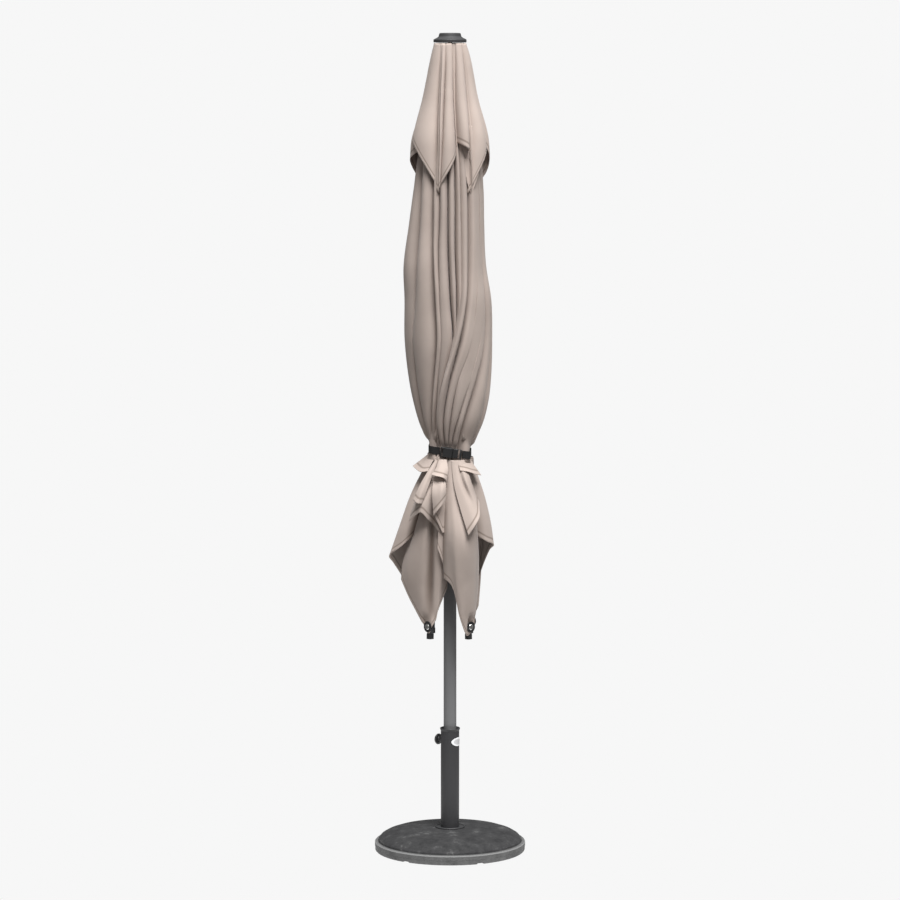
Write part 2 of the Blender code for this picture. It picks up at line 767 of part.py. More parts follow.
def build_corner_fixing(index, pivot):
    """The washer and cross-head screw that hold the canopy's corner to the rib's outer face."""
    seat = RIB_DEPTH / 2 + CLOTH_AT_RIB + 0.0006
    washer_profile = [
        (SCREW_SHANK_RADIUS + GAP, seat + WASHER_THICKNESS),
        (WASHER_RADIUS - 0.0006, seat + WASHER_THICKNESS),
        (WASHER_RADIUS, seat + WASHER_THICKNESS - 0.0006),
        (WASHER_RADIUS, seat),
        (SCREW_SHANK_RADIUS + GAP, seat),
    ]
    lay_on_rib = Matrix.Translation((0, 0, -CORNER_SCREW_ALONG)) @ Matrix.Rotation(
        math.radians(90), 4, "Y"
    )
    washer = add_object(
        f"corner_washer_{index}", turned_mesh(washer_profile, 24, closed=True), BLACK_PLASTIC
    )
    attach(washer, pivot, lay_on_rib)

    head = seat + WASHER_THICKNESS + GAP
    screw_profile = [
        (0.0, head + SCREW_HEAD_HEIGHT),
        (SCREW_HEAD_RADIUS * 0.55, head + SCREW_HEAD_HEIGHT * 0.93),
        (SCREW_HEAD_RADIUS * 0.88, head + SCREW_HEAD_HEIGHT * 0.62),
        (SCREW_HEAD_RADIUS, head + SCREW_HEAD_HEIGHT * 0.25),
        (SCREW_HEAD_RADIUS, head),
        (SCREW_SHANK_RADIUS, head),
        (SCREW_SHANK_RADIUS, seat - 0.008),
        (0.0, seat - 0.008),
    ]
    screw = add_object(f"corner_screw_{index}", turned_mesh(screw_profile, 20), BRIGHT_STEEL)
    top = head + SCREW_HEAD_HEIGHT
    slots = [
        box_mesh((-0.0042, -0.0007, top - 0.0016), (0.0042, 0.0007, top + 0.001)),
        box_mesh((-0.0007, -0.0042, top - 0.0016), (0.0007, 0.0042, top + 0.001)),
    ]
    cut(screw, slots)
    attach(screw, pivot, lay_on_rib)


def strut_mesh(length):
    """A flat bar with round ends and an eye at each, lying along Z below the origin."""
    half = STRUT_DEPTH / 2 + 0.0002
    outline = arc((0.0, 0.0), half, 0, 180, 8) + arc((0.0, -length), half, 180, 360, 8)
    eye = STRUT_PIN_RADIUS + GAP
    eyes = [arc((0.0, y), eye, 0, 345, 15) for y in (0.0, -length)]
    mesh = extruded_mesh([outline, *eyes], STRUT_WIDTH)
    return transformed(mesh, Matrix.Rotation(math.radians(90), 4, "X"))


def build_strut(index, azimuth):
    reach = strut_pivot(0.0)
    length = (reach - Vector((PIVOT_RADIUS, 0, runner_z()))).length
    pivot = add_pivot(f"strut_axis_{index}", strut_frame(azimuth))
    attach(add_object(f"strut_{index}", strut_mesh(length), RIB_PAINT), pivot)


def build_runner():
    """The sliding crown: a sleeve on the pole, a flange and a clevis with a moulded pin per strut."""
    pivot = add_pivot("runner_axis", Matrix.Translation((0, 0, runner_z())))
    flange_top, flange_bottom = -0.010, -0.017
    profile = [
        (RUNNER_BORE, RUNNER_ABOVE),
        (RUNNER_RADIUS - 0.0012, RUNNER_ABOVE),
        (RUNNER_RADIUS, RUNNER_ABOVE - 0.0012),
        (RUNNER_RADIUS, flange_top),
        (RUNNER_FLANGE_RADIUS, flange_top),
        (RUNNER_FLANGE_RADIUS, flange_bottom),
        (RUNNER_RADIUS + 0.001, flange_bottom),
        (RUNNER_RADIUS + 0.001, -RUNNER_BELOW),
        (RUNNER_BORE, -RUNNER_BELOW),
    ]
    runner = add_object("runner", turned_mesh(profile, closed=True), BLACK_PLASTIC)
    slot_half = STRUT_WIDTH / 2 + 0.0004
    pin_reach = slot_half + LUG_THICKNESS + 0.0003
    additions = []
    for azimuth in RIB_AZIMUTHS_DEG:
        turn = about_z(azimuth)
        for ear in lug_pair(slot_half, (0.0215, 0.0395), (flange_top - 0.002, 0.0065)):
            additions.append(transformed(ear, turn))
        pin = cylinder_between(
            (PIVOT_RADIUS, -pin_reach, 0), (PIVOT_RADIUS, pin_reach, 0), STRUT_PIN_RADIUS
        )
        additions.append(transformed(pin, turn))
    join(runner, additions)
    park = (0.0, 0.0325)
    parking_hole = cylinder_between(
        (*park, flange_bottom - 0.01), (*park, flange_top + 0.01), LOCK_PIN_RADIUS + 0.0004
    )
    cut(runner, [parking_hole])
    attach(runner, pivot)

    head_bottom = flange_top + GAP
    pin_profile = [
        (0.0, head_bottom + 0.006),
        (0.0048, head_bottom + 0.006),
        (0.0055, head_bottom + 0.005),
        (0.0055, head_bottom + 0.0006),
        (0.0050, head_bottom),
        (LOCK_PIN_RADIUS, head_bottom),
        (LOCK_PIN_RADIUS, head_bottom - LOCK_PIN_LENGTH + 0.002),
        (LOCK_PIN_RADIUS - 0.0015, head_bottom - LOCK_PIN_LENGTH),
        (0.0, head_bottom - LOCK_PIN_LENGTH),
    ]
    lock_pin = add_object("locking_pin", turned_mesh(pin_profile, 14), BRIGHT_STEEL)
    attach(lock_pin, pivot, Matrix.Translation((*park, 0)))


# ---------------------------------------------------------------- canopy


def profile_reach(profile, z, azimuth_deg):
    """Distance from the axis to the furled cloth, wide on one side and narrow on the other."""
    rows = sorted(profile)
    z = min(max(z, rows[0][0]), rows[-1][0])
    for (z0, wide0, narrow0), (z1, wide1, narrow1) in zip(rows, rows[1:]):
        if z <= z1:
            break
    t = (z - z0) / (z1 - z0)
    t = t * t * (3 - 2 * t)
    wide = wide0 + (wide1 - wide0) * t
    narrow = narrow0 + (narrow1 - narrow0) * t
    swing = math.cos(math.radians(azimuth_deg - NARROW_SIDE_DEG))
    return (wide + narrow) / 2 - (wide - narrow) / 2 * swing


def rib_radius_at(z):
    splay = math.asin((RIB_TIP_RADIUS - PIVOT_RADIUS) / RIB_LENGTH)
    return PIVOT_RADIUS + (PIVOT_Z - z) * math.tan(splay)


def frame_wrap(z, off_rib_deg, wrap):
    """Distance from the axis to a band stretched tight round the four ribs at height z."""
    centre = rib_radius_at(z)
    off = math.radians(abs(off_rib_deg))
    corner_end = math.atan2(wrap * math.sqrt(0.5), centre + wrap * math.sqrt(0.5))
    if off <= corner_end:
        across = centre * math.sin(off)
        return centre * math.cos(off) + math.sqrt(wrap**2 - across**2)
    return (centre * math.sqrt(0.5) + wrap) / math.cos(math.radians(45) - off)


def cloth_radii(profile, z, azimuth_deg, off_rib_deg, thickness):
    tight_inner = frame_wrap(z, off_rib_deg, RIB_WRAP_RADIUS)
    tight_outer = frame_wrap(z, off_rib_deg, RIB_WRAP_RADIUS + CLOTH_AT_RIB)
    reach = profile_reach(profile, z, azimuth_deg)
    outer = max(tight_outer, reach)
    return max(tight_inner, outer - thickness), outer


def cloth_levels(profile, bottom, level_above):
    """Heights of the rows: the profile's own and one between, those under level_above closed up
    so that the last row is at bottom."""
    heights = [z for z, wide, narrow in profile]
    rows = [heights[0]]
    for upper, lower in zip(heights, heights[1:]):
        if upper - lower > LONGEST_ROW:
            rows.append((upper + lower) / 2)
        rows.append(lower)
    shrink = (level_above - bottom) / (level_above - rows[-1])
    return [z if z >= level_above else level_above - (level_above - z) * shrink for z in rows]


def cloth_quarter_mesh(profile, rib_azimuth, corner_bottom, side_bottom, thickness, level_above):
    """A closed quarter shell centred on one rib, its lower edge a point that hangs on the rib."""
    columns = [-1.0, -0.66, -0.36, -0.15, -0.075, 0.0]
    columns += [-c for c in reversed(columns[:-1])]
    work = bmesh.new()
    inner_grid, outer_grid = [], []
    for share in columns:
        off = share * QUARTER_HALF_DEG
        azimuth = rib_azimuth + off
        bottom = corner_bottom + (side_bottom - corner_bottom) * abs(share) ** 0.8
        inner_row, outer_row = [], []
        for z in cloth_levels(profile, bottom, level_above):
            inner, outer = cloth_radii(profile, z, azimuth, off, thickness)
            spoke = about_z(azimuth)
            inner_row.append(work.verts.new(spoke @ Vector((inner, 0, z))))
            outer_row.append(work.verts.new(spoke @ Vector((outer, 0, z))))
        inner_grid.append(inner_row)
        outer_grid.append(outer_row)
    last = len(columns) - 1
    levels = len(outer_grid[0]) - 1
    for c in range(last):
        for i in range(levels):
            work.faces.new(
                [outer_grid[c][i], outer_grid[c][i + 1], outer_grid[c + 1][i + 1], outer_grid[c + 1][i]]
            )
            work.faces.new(
                [inner_grid[c][i], inner_grid[c + 1][i], inner_grid[c + 1][i + 1], inner_grid[c][i + 1]]
            )
        for i, flip in ((0, False), (levels, True)):
            ring = [inner_grid[c][i], outer_grid[c][i], outer_grid[c + 1][i], inner_grid[c + 1][i]]
            work.faces.new(reversed(ring) if flip else ring)
    for c, flip in ((0, False), (last, True)):
        for i in range(levels):
            side = [inner_grid[c][i], inner_grid[c][i + 1], outer_grid[c][i + 1], outer_grid[c][i]]
            work.faces.new(reversed(side) if flip else side)
    bmesh.ops.recalc_face_normals(work, faces=work.faces)
    mesh = bpy.data.meshes.new("cloth_quarter")
    work.to_mesh(mesh)
    work.free()
    return mesh


def build_canopy_quarter(index, azimuth, pivot):
    main = cloth_quarter_mesh(
        CANOPY_PROFILE, azimuth, CANOPY_CORNER_BOTTOM, CANOPY_SIDE_BOTTOM, CANOPY_THICKNESS,
        STRAP_Z - 0.030,
    )
    attach_in_place(add_object(f"canopy_quarter_{index}", main, CANOPY_FABRIC), pivot)
    vent = cloth_quarter_mesh(
        VENT_PROFILE, azimuth, VENT_CORNER_BOTTOM, VENT_SIDE_BOTTOM, VENT_THICKNESS,
        VENT_PROFILE[1][0],
    )
    attach_in_place(add_object(f"vent_quarter_{index}", vent, CANOPY_FABRIC), pivot)


def build_frame_arms():
    for index, azimuth in enumerate(RIB_AZIMUTHS_DEG, start=1):
        pivot = add_pivot(f"rib_axis_{index}", rib_frame(azimuth))
        build_rib(index, pivot)
        build_end_cap(index, pivot)
        build_bracket(index, pivot)
        build_corner_fixing(index, pivot)
        build_canopy_quarter(index, azimuth, pivot)
        build_strut(index, azimuth)


# ---------------------------------------------------------------- tie strap


def strap_wrap(azimuth_deg, offset):
    """A point of the strap's path at mid height: the tight band round the ribs, on a tilted plane."""
    nearest = min(RIB_AZIMUTHS_DEG, key=lambda a: abs((azimuth_deg - a + 180) % 360 - 180))
    off = (azimuth_deg - nearest + 180) % 360 - 180
    radius = frame_wrap(STRAP_Z, off, RIB_WRAP_RADIUS + CLOTH_AT_RIB + STRAP_CLEARANCE + offset)
    point = about_z(azimuth_deg) @ Vector((radius, 0, 0))
    point.z = STRAP_Z - math.tan(math.radians(STRAP_TILT_DEG)) * point.x
    return point


def strap_azimuths(start_deg, end_deg):
    """Stations along the band, close together where it bends round a rib."""
    low, high = sorted((start_deg, end_deg))
    stations = {low, high}
    for corner in range(-315, 676, 90):
        stations.update(corner + 45 / 2 * k for k in range(-1, 3))
        stations.update(corner + CORNER_HALF_DEG * k / 4 for k in range(-4, 5))
    kept = sorted(a for a in stations if low <= a <= high)
    return kept if start_deg < end_deg else kept[::-1]


def strap_mesh(start_deg, end_deg):
    """Webbing on edge, swept along the band from one azimuth to the other."""
    work = bmesh.new()
    sections = []
    for azimuth in strap_azimuths(start_deg, end_deg):
        inner = strap_wrap(azimuth, 0.0)
        outer = strap_wrap(azimuth, STRAP_THICKNESS)
        up = Vector((0, 0, STRAP_HEIGHT / 2))
        corners = [inner - up, outer - up, outer + up, inner + up]
        sections.append([work.verts.new(c) for c in corners])
    for a, b in zip(sections, sections[1:]):
        for k in range(4):
            work.faces.new([a[k], a[(k + 1) % 4], b[(k + 1) % 4], b[k]])
    work.faces.new(sections[0])
    work.faces.new(reversed(sections[-1]))
    bmesh.ops.recalc_face_normals(work, faces=work.faces)
    mesh = bpy.data.meshes.new("strap")
    work.to_mesh(mesh)
    work.free()
    return mesh


def azimuth_at_front(x):
    """Azimuth of the strap's outer face where it crosses x on the front side."""
    front = -(rib_radius_at(STRAP_Z) * math.sqrt(0.5) + RIB_WRAP_RADIUS + CLOTH_AT_RIB)
    return math.degrees(math.atan2(front, x))


def prong_outline(side):
    """Side view of one latch prong, root at x = 0 and tip towards -X."""
    points = [
        (0.0, 0.0070),
        (0.0, 0.0105),
        (-0.0060, 0.0108),
        (-0.0090, 0.0118),
        (-0.0160, 0.0118),
        (-PRONG_LENGTH, 0.0095),
        (-PRONG_LENGTH, 0.0080),
        (-0.0150, 0.0075),
    ]
    return [(x, side * z) for x, z in points]


def build_tie():
    front = rib_radius_at(STRAP_Z) * math.sqrt(0.5) + RIB_WRAP_RADIUS + CLOTH_AT_RIB
    tilt = Matrix.Rotation(math.radians(STRAP_TILT_DEG), 4, "Y")
    hinge_z = STRAP_Z - math.tan(math.radians(STRAP_TILT_DEG)) * STRAP_HINGE_X
    hinge = Matrix.Translation((STRAP_HINGE_X, front + STRAP_THICKNESS / 2, hinge_z)) @ tilt
    left_pivot = add_pivot("strap_left_axis", hinge)
    right_pivot = add_pivot("strap_right_axis", hinge)

    half = BUCKLE_LENGTH / 2
    left_end = BUCKLE_CENTRE_X - half - 0.0006
    right_end = BUCKLE_CENTRE_X + half + 0.0006
    back = math.degrees(math.atan2(front, STRAP_HINGE_X))
    seam = 0.5
    left = strap_mesh(back + seam, 360 + azimuth_at_front(left_end))
    attach_in_place(add_object("strap_left", left, STRAP_WEBBING), left_pivot)
    right = strap_mesh(back - seam, azimuth_at_front(right_end))
    attach_in_place(add_object("strap_right", right, STRAP_WEBBING), right_pivot)

    centre_y = -(front + STRAP_CLEARANCE + BUCKLE_THICKNESS / 2 + 0.0006)
    centre_z = STRAP_Z - math.tan(math.radians(STRAP_TILT_DEG)) * BUCKLE_CENTRE_X
    frame = Matrix.Translation((BUCKLE_CENTRE_X, centre_y, centre_z)) @ tilt
    build_buckle(frame, half, left_pivot, right_pivot)


def buckle_box(x_range, half_thick, z_range, bevel=0.0):
    low = (x_range[0], -half_thick, z_range[0])
    high = (x_range[1], half_thick, z_range[1])
    return box_mesh(low, high, bevel=bevel)


def build_buckle(frame, half, left_pivot, right_pivot):
    """The female half on the left, the male half and its two sprung prongs on the right."""
    thick, tall, wall = BUCKLE_THICKNESS / 2, BUCKLE_HEIGHT / 2, BUCKLE_WALL
    through = thick + CUT_PAST
    webbing = (-WEBBING_SLOT_HALF, WEBBING_SLOT_HALF)
    mouth = -half + BUCKLE_FEMALE_LENGTH
    body = buckle_box((-half, mouth), thick, (-tall, tall), BUCKLE_BEVEL)
    female = add_object("buckle_female", transformed(body, frame), BLACK_PLASTIC)
    pocket_end = mouth - PRONG_LENGTH - 0.0025
    inside = thick - wall
    pocket = buckle_box((pocket_end, mouth + CUT_PAST), inside, (-tall + wall, tall - wall))
    window_x = [mouth - offset for offset in WINDOW_FROM_MOUTH]
    windows = buckle_box(window_x, inside, (-tall - CUT_PAST, tall + CUT_PAST))
    slot_x = [-half + offset for offset in FEMALE_SLOT_IN]
    slot = buckle_box(slot_x, through, webbing)
    cut(female, [transformed(m, frame) for m in (pocket, windows, slot)])
    attach_in_place(female, left_pivot)

    start = mouth + BUCKLE_JOINT_GAP
    block = buckle_box((start, half), thick - 0.0006, (-tall + 0.0012, tall - 0.0012), 0.002)
    male = add_object("buckle_male", transformed(block, frame), BLACK_PLASTIC)
    tongue_x = (start - PRONG_LENGTH + TONGUE_ROOT, start + TONGUE_ROOT)
    tongue = buckle_box(tongue_x, PRONG_THICKNESS / 2, (-TONGUE_HALF, TONGUE_HALF))
    join(male, [transformed(tongue, frame)])
    male_slot = buckle_box([half - offset for offset in MALE_SLOT_IN], through, webbing)
    root_x = start + PRONG_ROOT_IN
    relief_x = (start - 0.001, root_x + GAP)
    inner, outer = PRONG_RELIEF
    relief = [
        buckle_box(relief_x, thick - 0.003, (inner, outer)),
        buckle_box(relief_x, thick - 0.003, (-outer, -inner)),
    ]
    cut(male, [transformed(m, frame) for m in (male_slot, *relief)])
    attach_in_place(male, right_pivot)

    for name, side in (("upper", 1), ("lower", -1)):
        prong = extruded_mesh([prong_outline(side)], PRONG_THICKNESS)
        prong.transform(Matrix.Rotation(math.radians(90), 4, "X"))
        prong.transform(Matrix.Translation((root_x, 0, 0)))
        axis_at = Matrix.Translation((root_x, 0, side * PRONG_HALF_SPACING))
        root = add_pivot(f"prong_{name}_axis", frame @ axis_at)
        obj = add_object(f"buckle_prong_{name}", transformed(prong, frame), BLACK_PLASTIC)
        attach_in_place(obj, root)


def build_parasol():
    build_base()
    build_socket()
    build_clamp()
    build_plate()
    build_pole()
    build_hub()
    build_finial()
    build_frame_arms()
    build_runner()
    build_tie()


build_parasol()
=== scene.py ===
"""Looks for a furled square market parasol in its round concrete stand.

Soft pieces are built as grids of cloth in a frame turned to the front of the tied bundle:
x to the right, d towards the front, z up, all in metres from the pole's axis.
"""

import json
import math

import bpy
import numpy as np
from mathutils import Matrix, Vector

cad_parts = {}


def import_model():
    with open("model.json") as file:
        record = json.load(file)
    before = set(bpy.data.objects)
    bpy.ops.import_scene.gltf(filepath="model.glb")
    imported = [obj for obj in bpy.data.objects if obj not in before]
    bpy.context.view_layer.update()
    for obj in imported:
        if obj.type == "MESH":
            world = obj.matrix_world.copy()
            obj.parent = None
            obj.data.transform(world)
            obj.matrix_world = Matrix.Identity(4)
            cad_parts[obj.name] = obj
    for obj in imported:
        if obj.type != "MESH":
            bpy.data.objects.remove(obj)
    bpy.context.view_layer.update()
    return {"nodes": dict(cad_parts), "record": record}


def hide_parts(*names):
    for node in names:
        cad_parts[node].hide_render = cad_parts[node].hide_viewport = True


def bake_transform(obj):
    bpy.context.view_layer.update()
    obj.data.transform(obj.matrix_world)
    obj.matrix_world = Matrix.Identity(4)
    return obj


# ---------------------------------------------------------------- driving sizes
FRONT_TURN = math.radians(2.0)  # the front of the bundle is turned this far towards +X
CLOTH_TOP = 2.378  # height of the ribs' hinges, where the cloth starts
CLOTH_THICKNESS = 0.0014

# Ribs, by azimuth from the front of the bundle.
RIB_FRONT_DEG = {1: 223.0, 2: 133.0, 3: 43.0, 4: -47.0}
RIB_SPLAY = math.radians(1.536)
RIB_PIVOT = 0.034
RIB_HALF_WIDTH = 0.010
RIB_SOFTEN = 0.008  # how far beside a rib its bump in the cloth fades away
RIB_BACK = 0.0105  # from a rib's middle line to the cloth that lies over it
RIB_SEAT = 0.0090  # from a rib's middle line to the cloth that is screwed to its end
RIB_INNERMOST = 0.03  # cloth nearer the pole than this is left where it is

# The corners of the cloth, at the ribs' ends.
CORNER_Z = 0.683
CORNER_HALF = 0.018
CORNER_FADE = 0.030
CORNER_HALF_WIDTH = 0.012

# Where the back ribs are covered just under the tie.
COVER_HALF_WIDTH = 0.016
COVER_OVER = 0.004
COVER_BOTTOM = 1.00
COVER_BOTTOM_FADE = 0.05
COVER_TOP = 1.178
COVER_TOP_FADE = 0.010

# The main cloth and the tie round it.
BUNDLE_TOP = 2.20
BUNDLE_BOTTOM = 1.172
STRAP_Z = 1.202
STRAP_SLOPE = math.tan(math.radians(8.0))  # the tie is higher on the left
STRAP_HALF_WIDTH = 0.0120
STRAP_FLAT_DEG = -2.0  # where the middle of the strap's front side lies, from the front
STRAP_INSIDE = 0.0593  # from the pole's axis to the middle of each side of the strap
STRAP_CORNER = 0.0784  # from the pole's axis to its rounded corners
STRAP_CLEARANCE = 0.0014
RUN_ABOVE = 0.055  # how soon the cloth spreads out again above the strap
RUN_BELOW = 0.014
RUN_SPREAD = 0.09

# Pleats inside the bundle.
INNER_CREASES_DEG = (-43, -32, -22, -12, 12, 22, 32, 43)
INNER_REACH = 0.70
INNER_TOP = 2.12
INNER_BOTTOM = 1.24

# Painted shade in the folds: the cloth is darkened the deeper it lies in a valley.
FOLD_WINDOW = 14  # columns either side that a fold's depth is measured against
FOLD_SHADE_DEPTH = 0.012
FOLD_SHADE = (.42, .385, .36)

# Distances down the cloth, which its hem follows.
MAIN_DOWN = 1.10
FLAP_DOWN = 1.25
STITCH_FROM = 1.20

# Colours.
FABRIC_DARK = (.430, .358, .318)
FABRIC_PALE = (.490, .412, .368)
CANOPY_LEVEL = 0.96
VENT_PAINTED_LIGHT_LEVEL = 1.16  # the vent flap's cloth is painted lighter than the canopy's, standing in for the stronger light on its upward-facing folds
WHITE = (1.0, 1.0, 1.0)
STITCHING = (.62, .60, .58)
HEM = (1.07, 1.07, 1.07)
# Painted highlight along the concrete's lip.
LIP_HIGHLIGHT = (.17, .17, .17)
PLATE_BORDER = (.80, .81, .82)

# The plate on the socket.
PLATE_AZIMUTH_DEG = -30.0
PLATE_Z = 0.330
PLATE_HALF = (0.024, 0.013)

# Stage, light and camera.
FLOOR_HALF = 40.0
BACKDROP = 0.93
SKY = 0.27
FLOOR_BOUNCE = (2.2, 0.16)  # near the base and far from it
FLOOR_BOUNCE_RADII = (0.3, 1.2)
KEY = 5.8
KEY_SPREAD_DEG = 35.0
KEY_HEIGHT_DEG = 66.0
KEY_TURN_DEG = 20.0
CAMERA_DISTANCE = 10.7
CAMERA_HEIGHT = 2.35
CAMERA_AIM_HEIGHT = 1.203
CAMERA_LENS = 145.4
CAMERA_SENSOR = 36.0

# Sockets of Blender's colour mix node.
MIX_FIRST = 6
MIX_SECOND = 7
MIX_RESULT = 2


def smooth(t):
    """Rises from 0 to 1 with level ends."""
    t = np.clip(t, 0.0, 1.0)
    return t * t * (3.0 - 2.0 * t)


def to_world(x, d, z):
    """Turns front-frame coordinates into the row's frame."""
    c, s = math.cos(FRONT_TURN), math.sin(FRONT_TURN)
    x, d, z = (np.asarray(v, float) for v in (x, d, z))
    return np.stack([x * c + d * s, x * s - d * c, z + 0.0 * x], -1)


def spline(knots, values, at):
    """A Catmull-Rom curve through (knots, values), with level ends beyond them, read at the given places."""
    k = np.asarray(knots, float)
    v = np.asarray(values, float)
    order = np.argsort(k)
    k, v = k[order], v[order]
    at = np.clip(np.asarray(at, float), k[0], k[-1])
    slope = np.zeros_like(v)
    chord = (v[1:] - v[:-1]) / (k[1:] - k[:-1]).reshape((-1,) + (1,) * (v.ndim - 1))
    slope[1:-1] = 0.5 * (chord[1:] + chord[:-1])
    slope[0], slope[-1] = chord[0], chord[-1]
    i = np.clip(np.searchsorted(k, at, side="right") - 1, 0, len(k) - 2)
    h = k[i + 1] - k[i]
    t = (at - k[i]) / h
    shape = t.shape + (1,) * (v.ndim - 1)
    t, h = t.reshape(shape), h.reshape(shape)
    a = (1 + 2 * t) * (1 - t) ** 2 * v[i] + t * t * (3 - 2 * t) * v[i + 1]
    return a + h * (t * (1 - t) ** 2 * slope[i] - t * t * (1 - t) * slope[i + 1])


# ---------------------------------------------------------------- meshes
def fold_depth(points):
    """How far inside a fold each point lies, from 0 on an outer face to 1 in a valley; it sets the painted
    shade in the folds.
    """
    r = np.hypot(points[..., 0], points[..., 1])
    wide = np.pad(r, ((0, 0), (FOLD_WINDOW, FOLD_WINDOW)), mode="edge")
    total = np.cumsum(np.pad(wide, ((0, 0), (1, 0))), axis=1)
    span = 2 * FOLD_WINDOW + 1
    around = (total[:, span:] - total[:, :-span]) / span
    return np.clip((around - r) / FOLD_SHADE_DEPTH, 0.0, 1.0)


def grid_mesh(name, patches):
    """One mesh from several patches of (points, across, down): positions and cloth coordinates."""
    verts, faces, coords, depths = [], [], [], []
    start = 0
    for points, across, down in patches:
        rows, cols = points.shape[:2]
        verts.append(points.reshape(-1, 3))
        coords.append(np.stack([across, down], -1).reshape(-1, 2))
        depths.append(fold_depth(points).ravel())
        r, c = np.meshgrid(np.arange(rows - 1), np.arange(cols - 1), indexing="ij")
        a = (start + r * cols + c).ravel()
        faces.append(np.stack([a, a + cols, a + cols + 1, a + 1], -1))
        start += rows * cols
    verts, faces, coords = (np.concatenate(v) for v in (verts, faces, coords))
    mesh = bpy.data.meshes.new(name)
    mesh.from_pydata(verts.tolist(), [], faces.tolist())
    layer = mesh.uv_layers.new(name="cloth")
    loops = np.empty(len(mesh.loops), np.int32)
    mesh.loops.foreach_get("vertex_index", loops)
    layer.data.foreach_set("uv", coords[loops].astype(np.float32).ravel())
    # Each point's depth in its fold, which paints shade into the valleys.
    inside = mesh.attributes.new("painted_fold_shade", "FLOAT", "POINT")
    inside.data.foreach_set("value", np.concatenate(depths).astype(np.float32))
    mesh.polygons.foreach_set("use_smooth", np.ones(len(mesh.polygons), bool))
    mesh.update()
    thing = bpy.data.objects.new(name, mesh)
    bpy.context.collection.objects.link(thing)
    return thing


# ---------------------------------------------------------------- the gathered bundle
# Radii of the whole bundle to the left, to the right and in front, by height. The back is as the front.
HULL_Z = (2.20, 2.12, 1.97, 1.88, 1.75, 1.65, 1.53, 1.41, 1.35, 1.29, 1.24, 1.21, 1.18, 1.14, 1.05)
HULL_LEFT = (.046, .082, .108, .122, .140, .135, .133, .121, .110, .094, .074, .066, .068, .085, .12)
HULL_RIGHT = (.046, .080, .098, .101, .107, .121, .123, .120, .114, .100, .079, .067, .066, .078, .11)
HULL_FRONT = (.046, .078, .104, .110, .118, .122, .121, .112, .104, .092, .074, .066, .066, .078, .11)


def hull(front_deg, z):
    """Outer radius of the gathered cloth at an azimuth from the front, positive to the right."""
    left = spline(HULL_Z, HULL_LEFT, z)
    right = spline(HULL_Z, HULL_RIGHT, z)
    front = spline(HULL_Z, HULL_FRONT, z)
    s = np.sin(np.radians(front_deg))
    side = np.where(s < 0, left, right)
    return front + (side - front) * np.abs(s) ** 1.5


def rib_keep_out(front_deg, z, r):
    """Pushes cloth that would pass through a rib out over its back."""
    for azimuth in RIB_FRONT_DEG.values():
        rib = RIB_PIVOT + (CLOTH_TOP - z) * math.tan(RIB_SPLAY)
        off = np.abs((np.asarray(front_deg) - azimuth + 180.0) % 360.0 - 180.0)
        side = r * np.sin(np.radians(np.minimum(off, 90.0)))
        near = 1.0 - smooth((side - RIB_HALF_WIDTH) / RIB_SOFTEN)
        r = np.maximum(r, near * (rib + RIB_BACK))
    return r


def strap_limit(x, d, z):
    """The furthest out that cloth may lie, which draws it in under the strap."""
    azimuth = np.degrees(np.arctan2(x, d))
    off = np.radians((azimuth - STRAP_FLAT_DEG + 45.0) % 90.0 - 45.0)
    inside = np.minimum(STRAP_INSIDE / np.cos(off), STRAP_CORNER) - STRAP_CLEARANCE
    away = z - (STRAP_Z - STRAP_SLOPE * x)
    run = np.where(away > 0, RUN_ABOVE, RUN_BELOW)
    beyond = np.maximum(0.0, np.abs(away) - STRAP_HALF_WIDTH - run)
    return inside + RUN_SPREAD * smooth((np.abs(away) - STRAP_HALF_WIDTH) / run) ** 1.5 + beyond


def drawn_in(points):
    """The same points with none of them outside the strap at its height."""
    x, d, z = points[..., 0], points[..., 1], points[..., 2]
    r = np.hypot(x, d)
    share = np.minimum(1.0, strap_limit(x, d, z) / np.maximum(r, 1e-6))
    return np.stack([x * share, d * share, z], -1)


def seated_on_ribs(points):
    """The same points, with the cloth's corners on the ribs' ends and the back ribs covered under the tie."""
    x, d, z = points[..., 0].copy(), points[..., 1].copy(), points[..., 2]
    for azimuth in RIB_FRONT_DEG.values():
        a = math.radians(azimuth)
        out = x * math.sin(a) + d * math.cos(a)
        side = x * math.cos(a) - d * math.sin(a)
        back = RIB_PIVOT + (CLOTH_TOP - z) * math.tan(RIB_SPLAY) + RIB_SEAT
        near = 1.0 - smooth((np.abs(side) - CORNER_HALF_WIDTH) / CORNER_HALF_WIDTH)
        low = 1.0 - smooth((np.abs(z - CORNER_Z) - CORNER_HALF) / CORNER_FADE)
        move = np.where(out > RIB_INNERMOST, near * low, 0.0) * (back - out)
        if math.cos(a) < 0:
            over = 1.0 - smooth((np.abs(side) - COVER_HALF_WIDTH) / COVER_HALF_WIDTH)
            from_below = smooth((z - COVER_BOTTOM) / COVER_BOTTOM_FADE)
            under_tie = from_below * (1.0 - smooth((z - COVER_TOP) / COVER_TOP_FADE))
            lift = np.maximum(back + COVER_OVER - out, 0.0)
            move += np.where(out > RIB_INNERMOST, over * under_tie, 0.0) * lift
        x += move * math.sin(a)
        d += move * math.cos(a)
    return np.stack([x, d, z], -1)


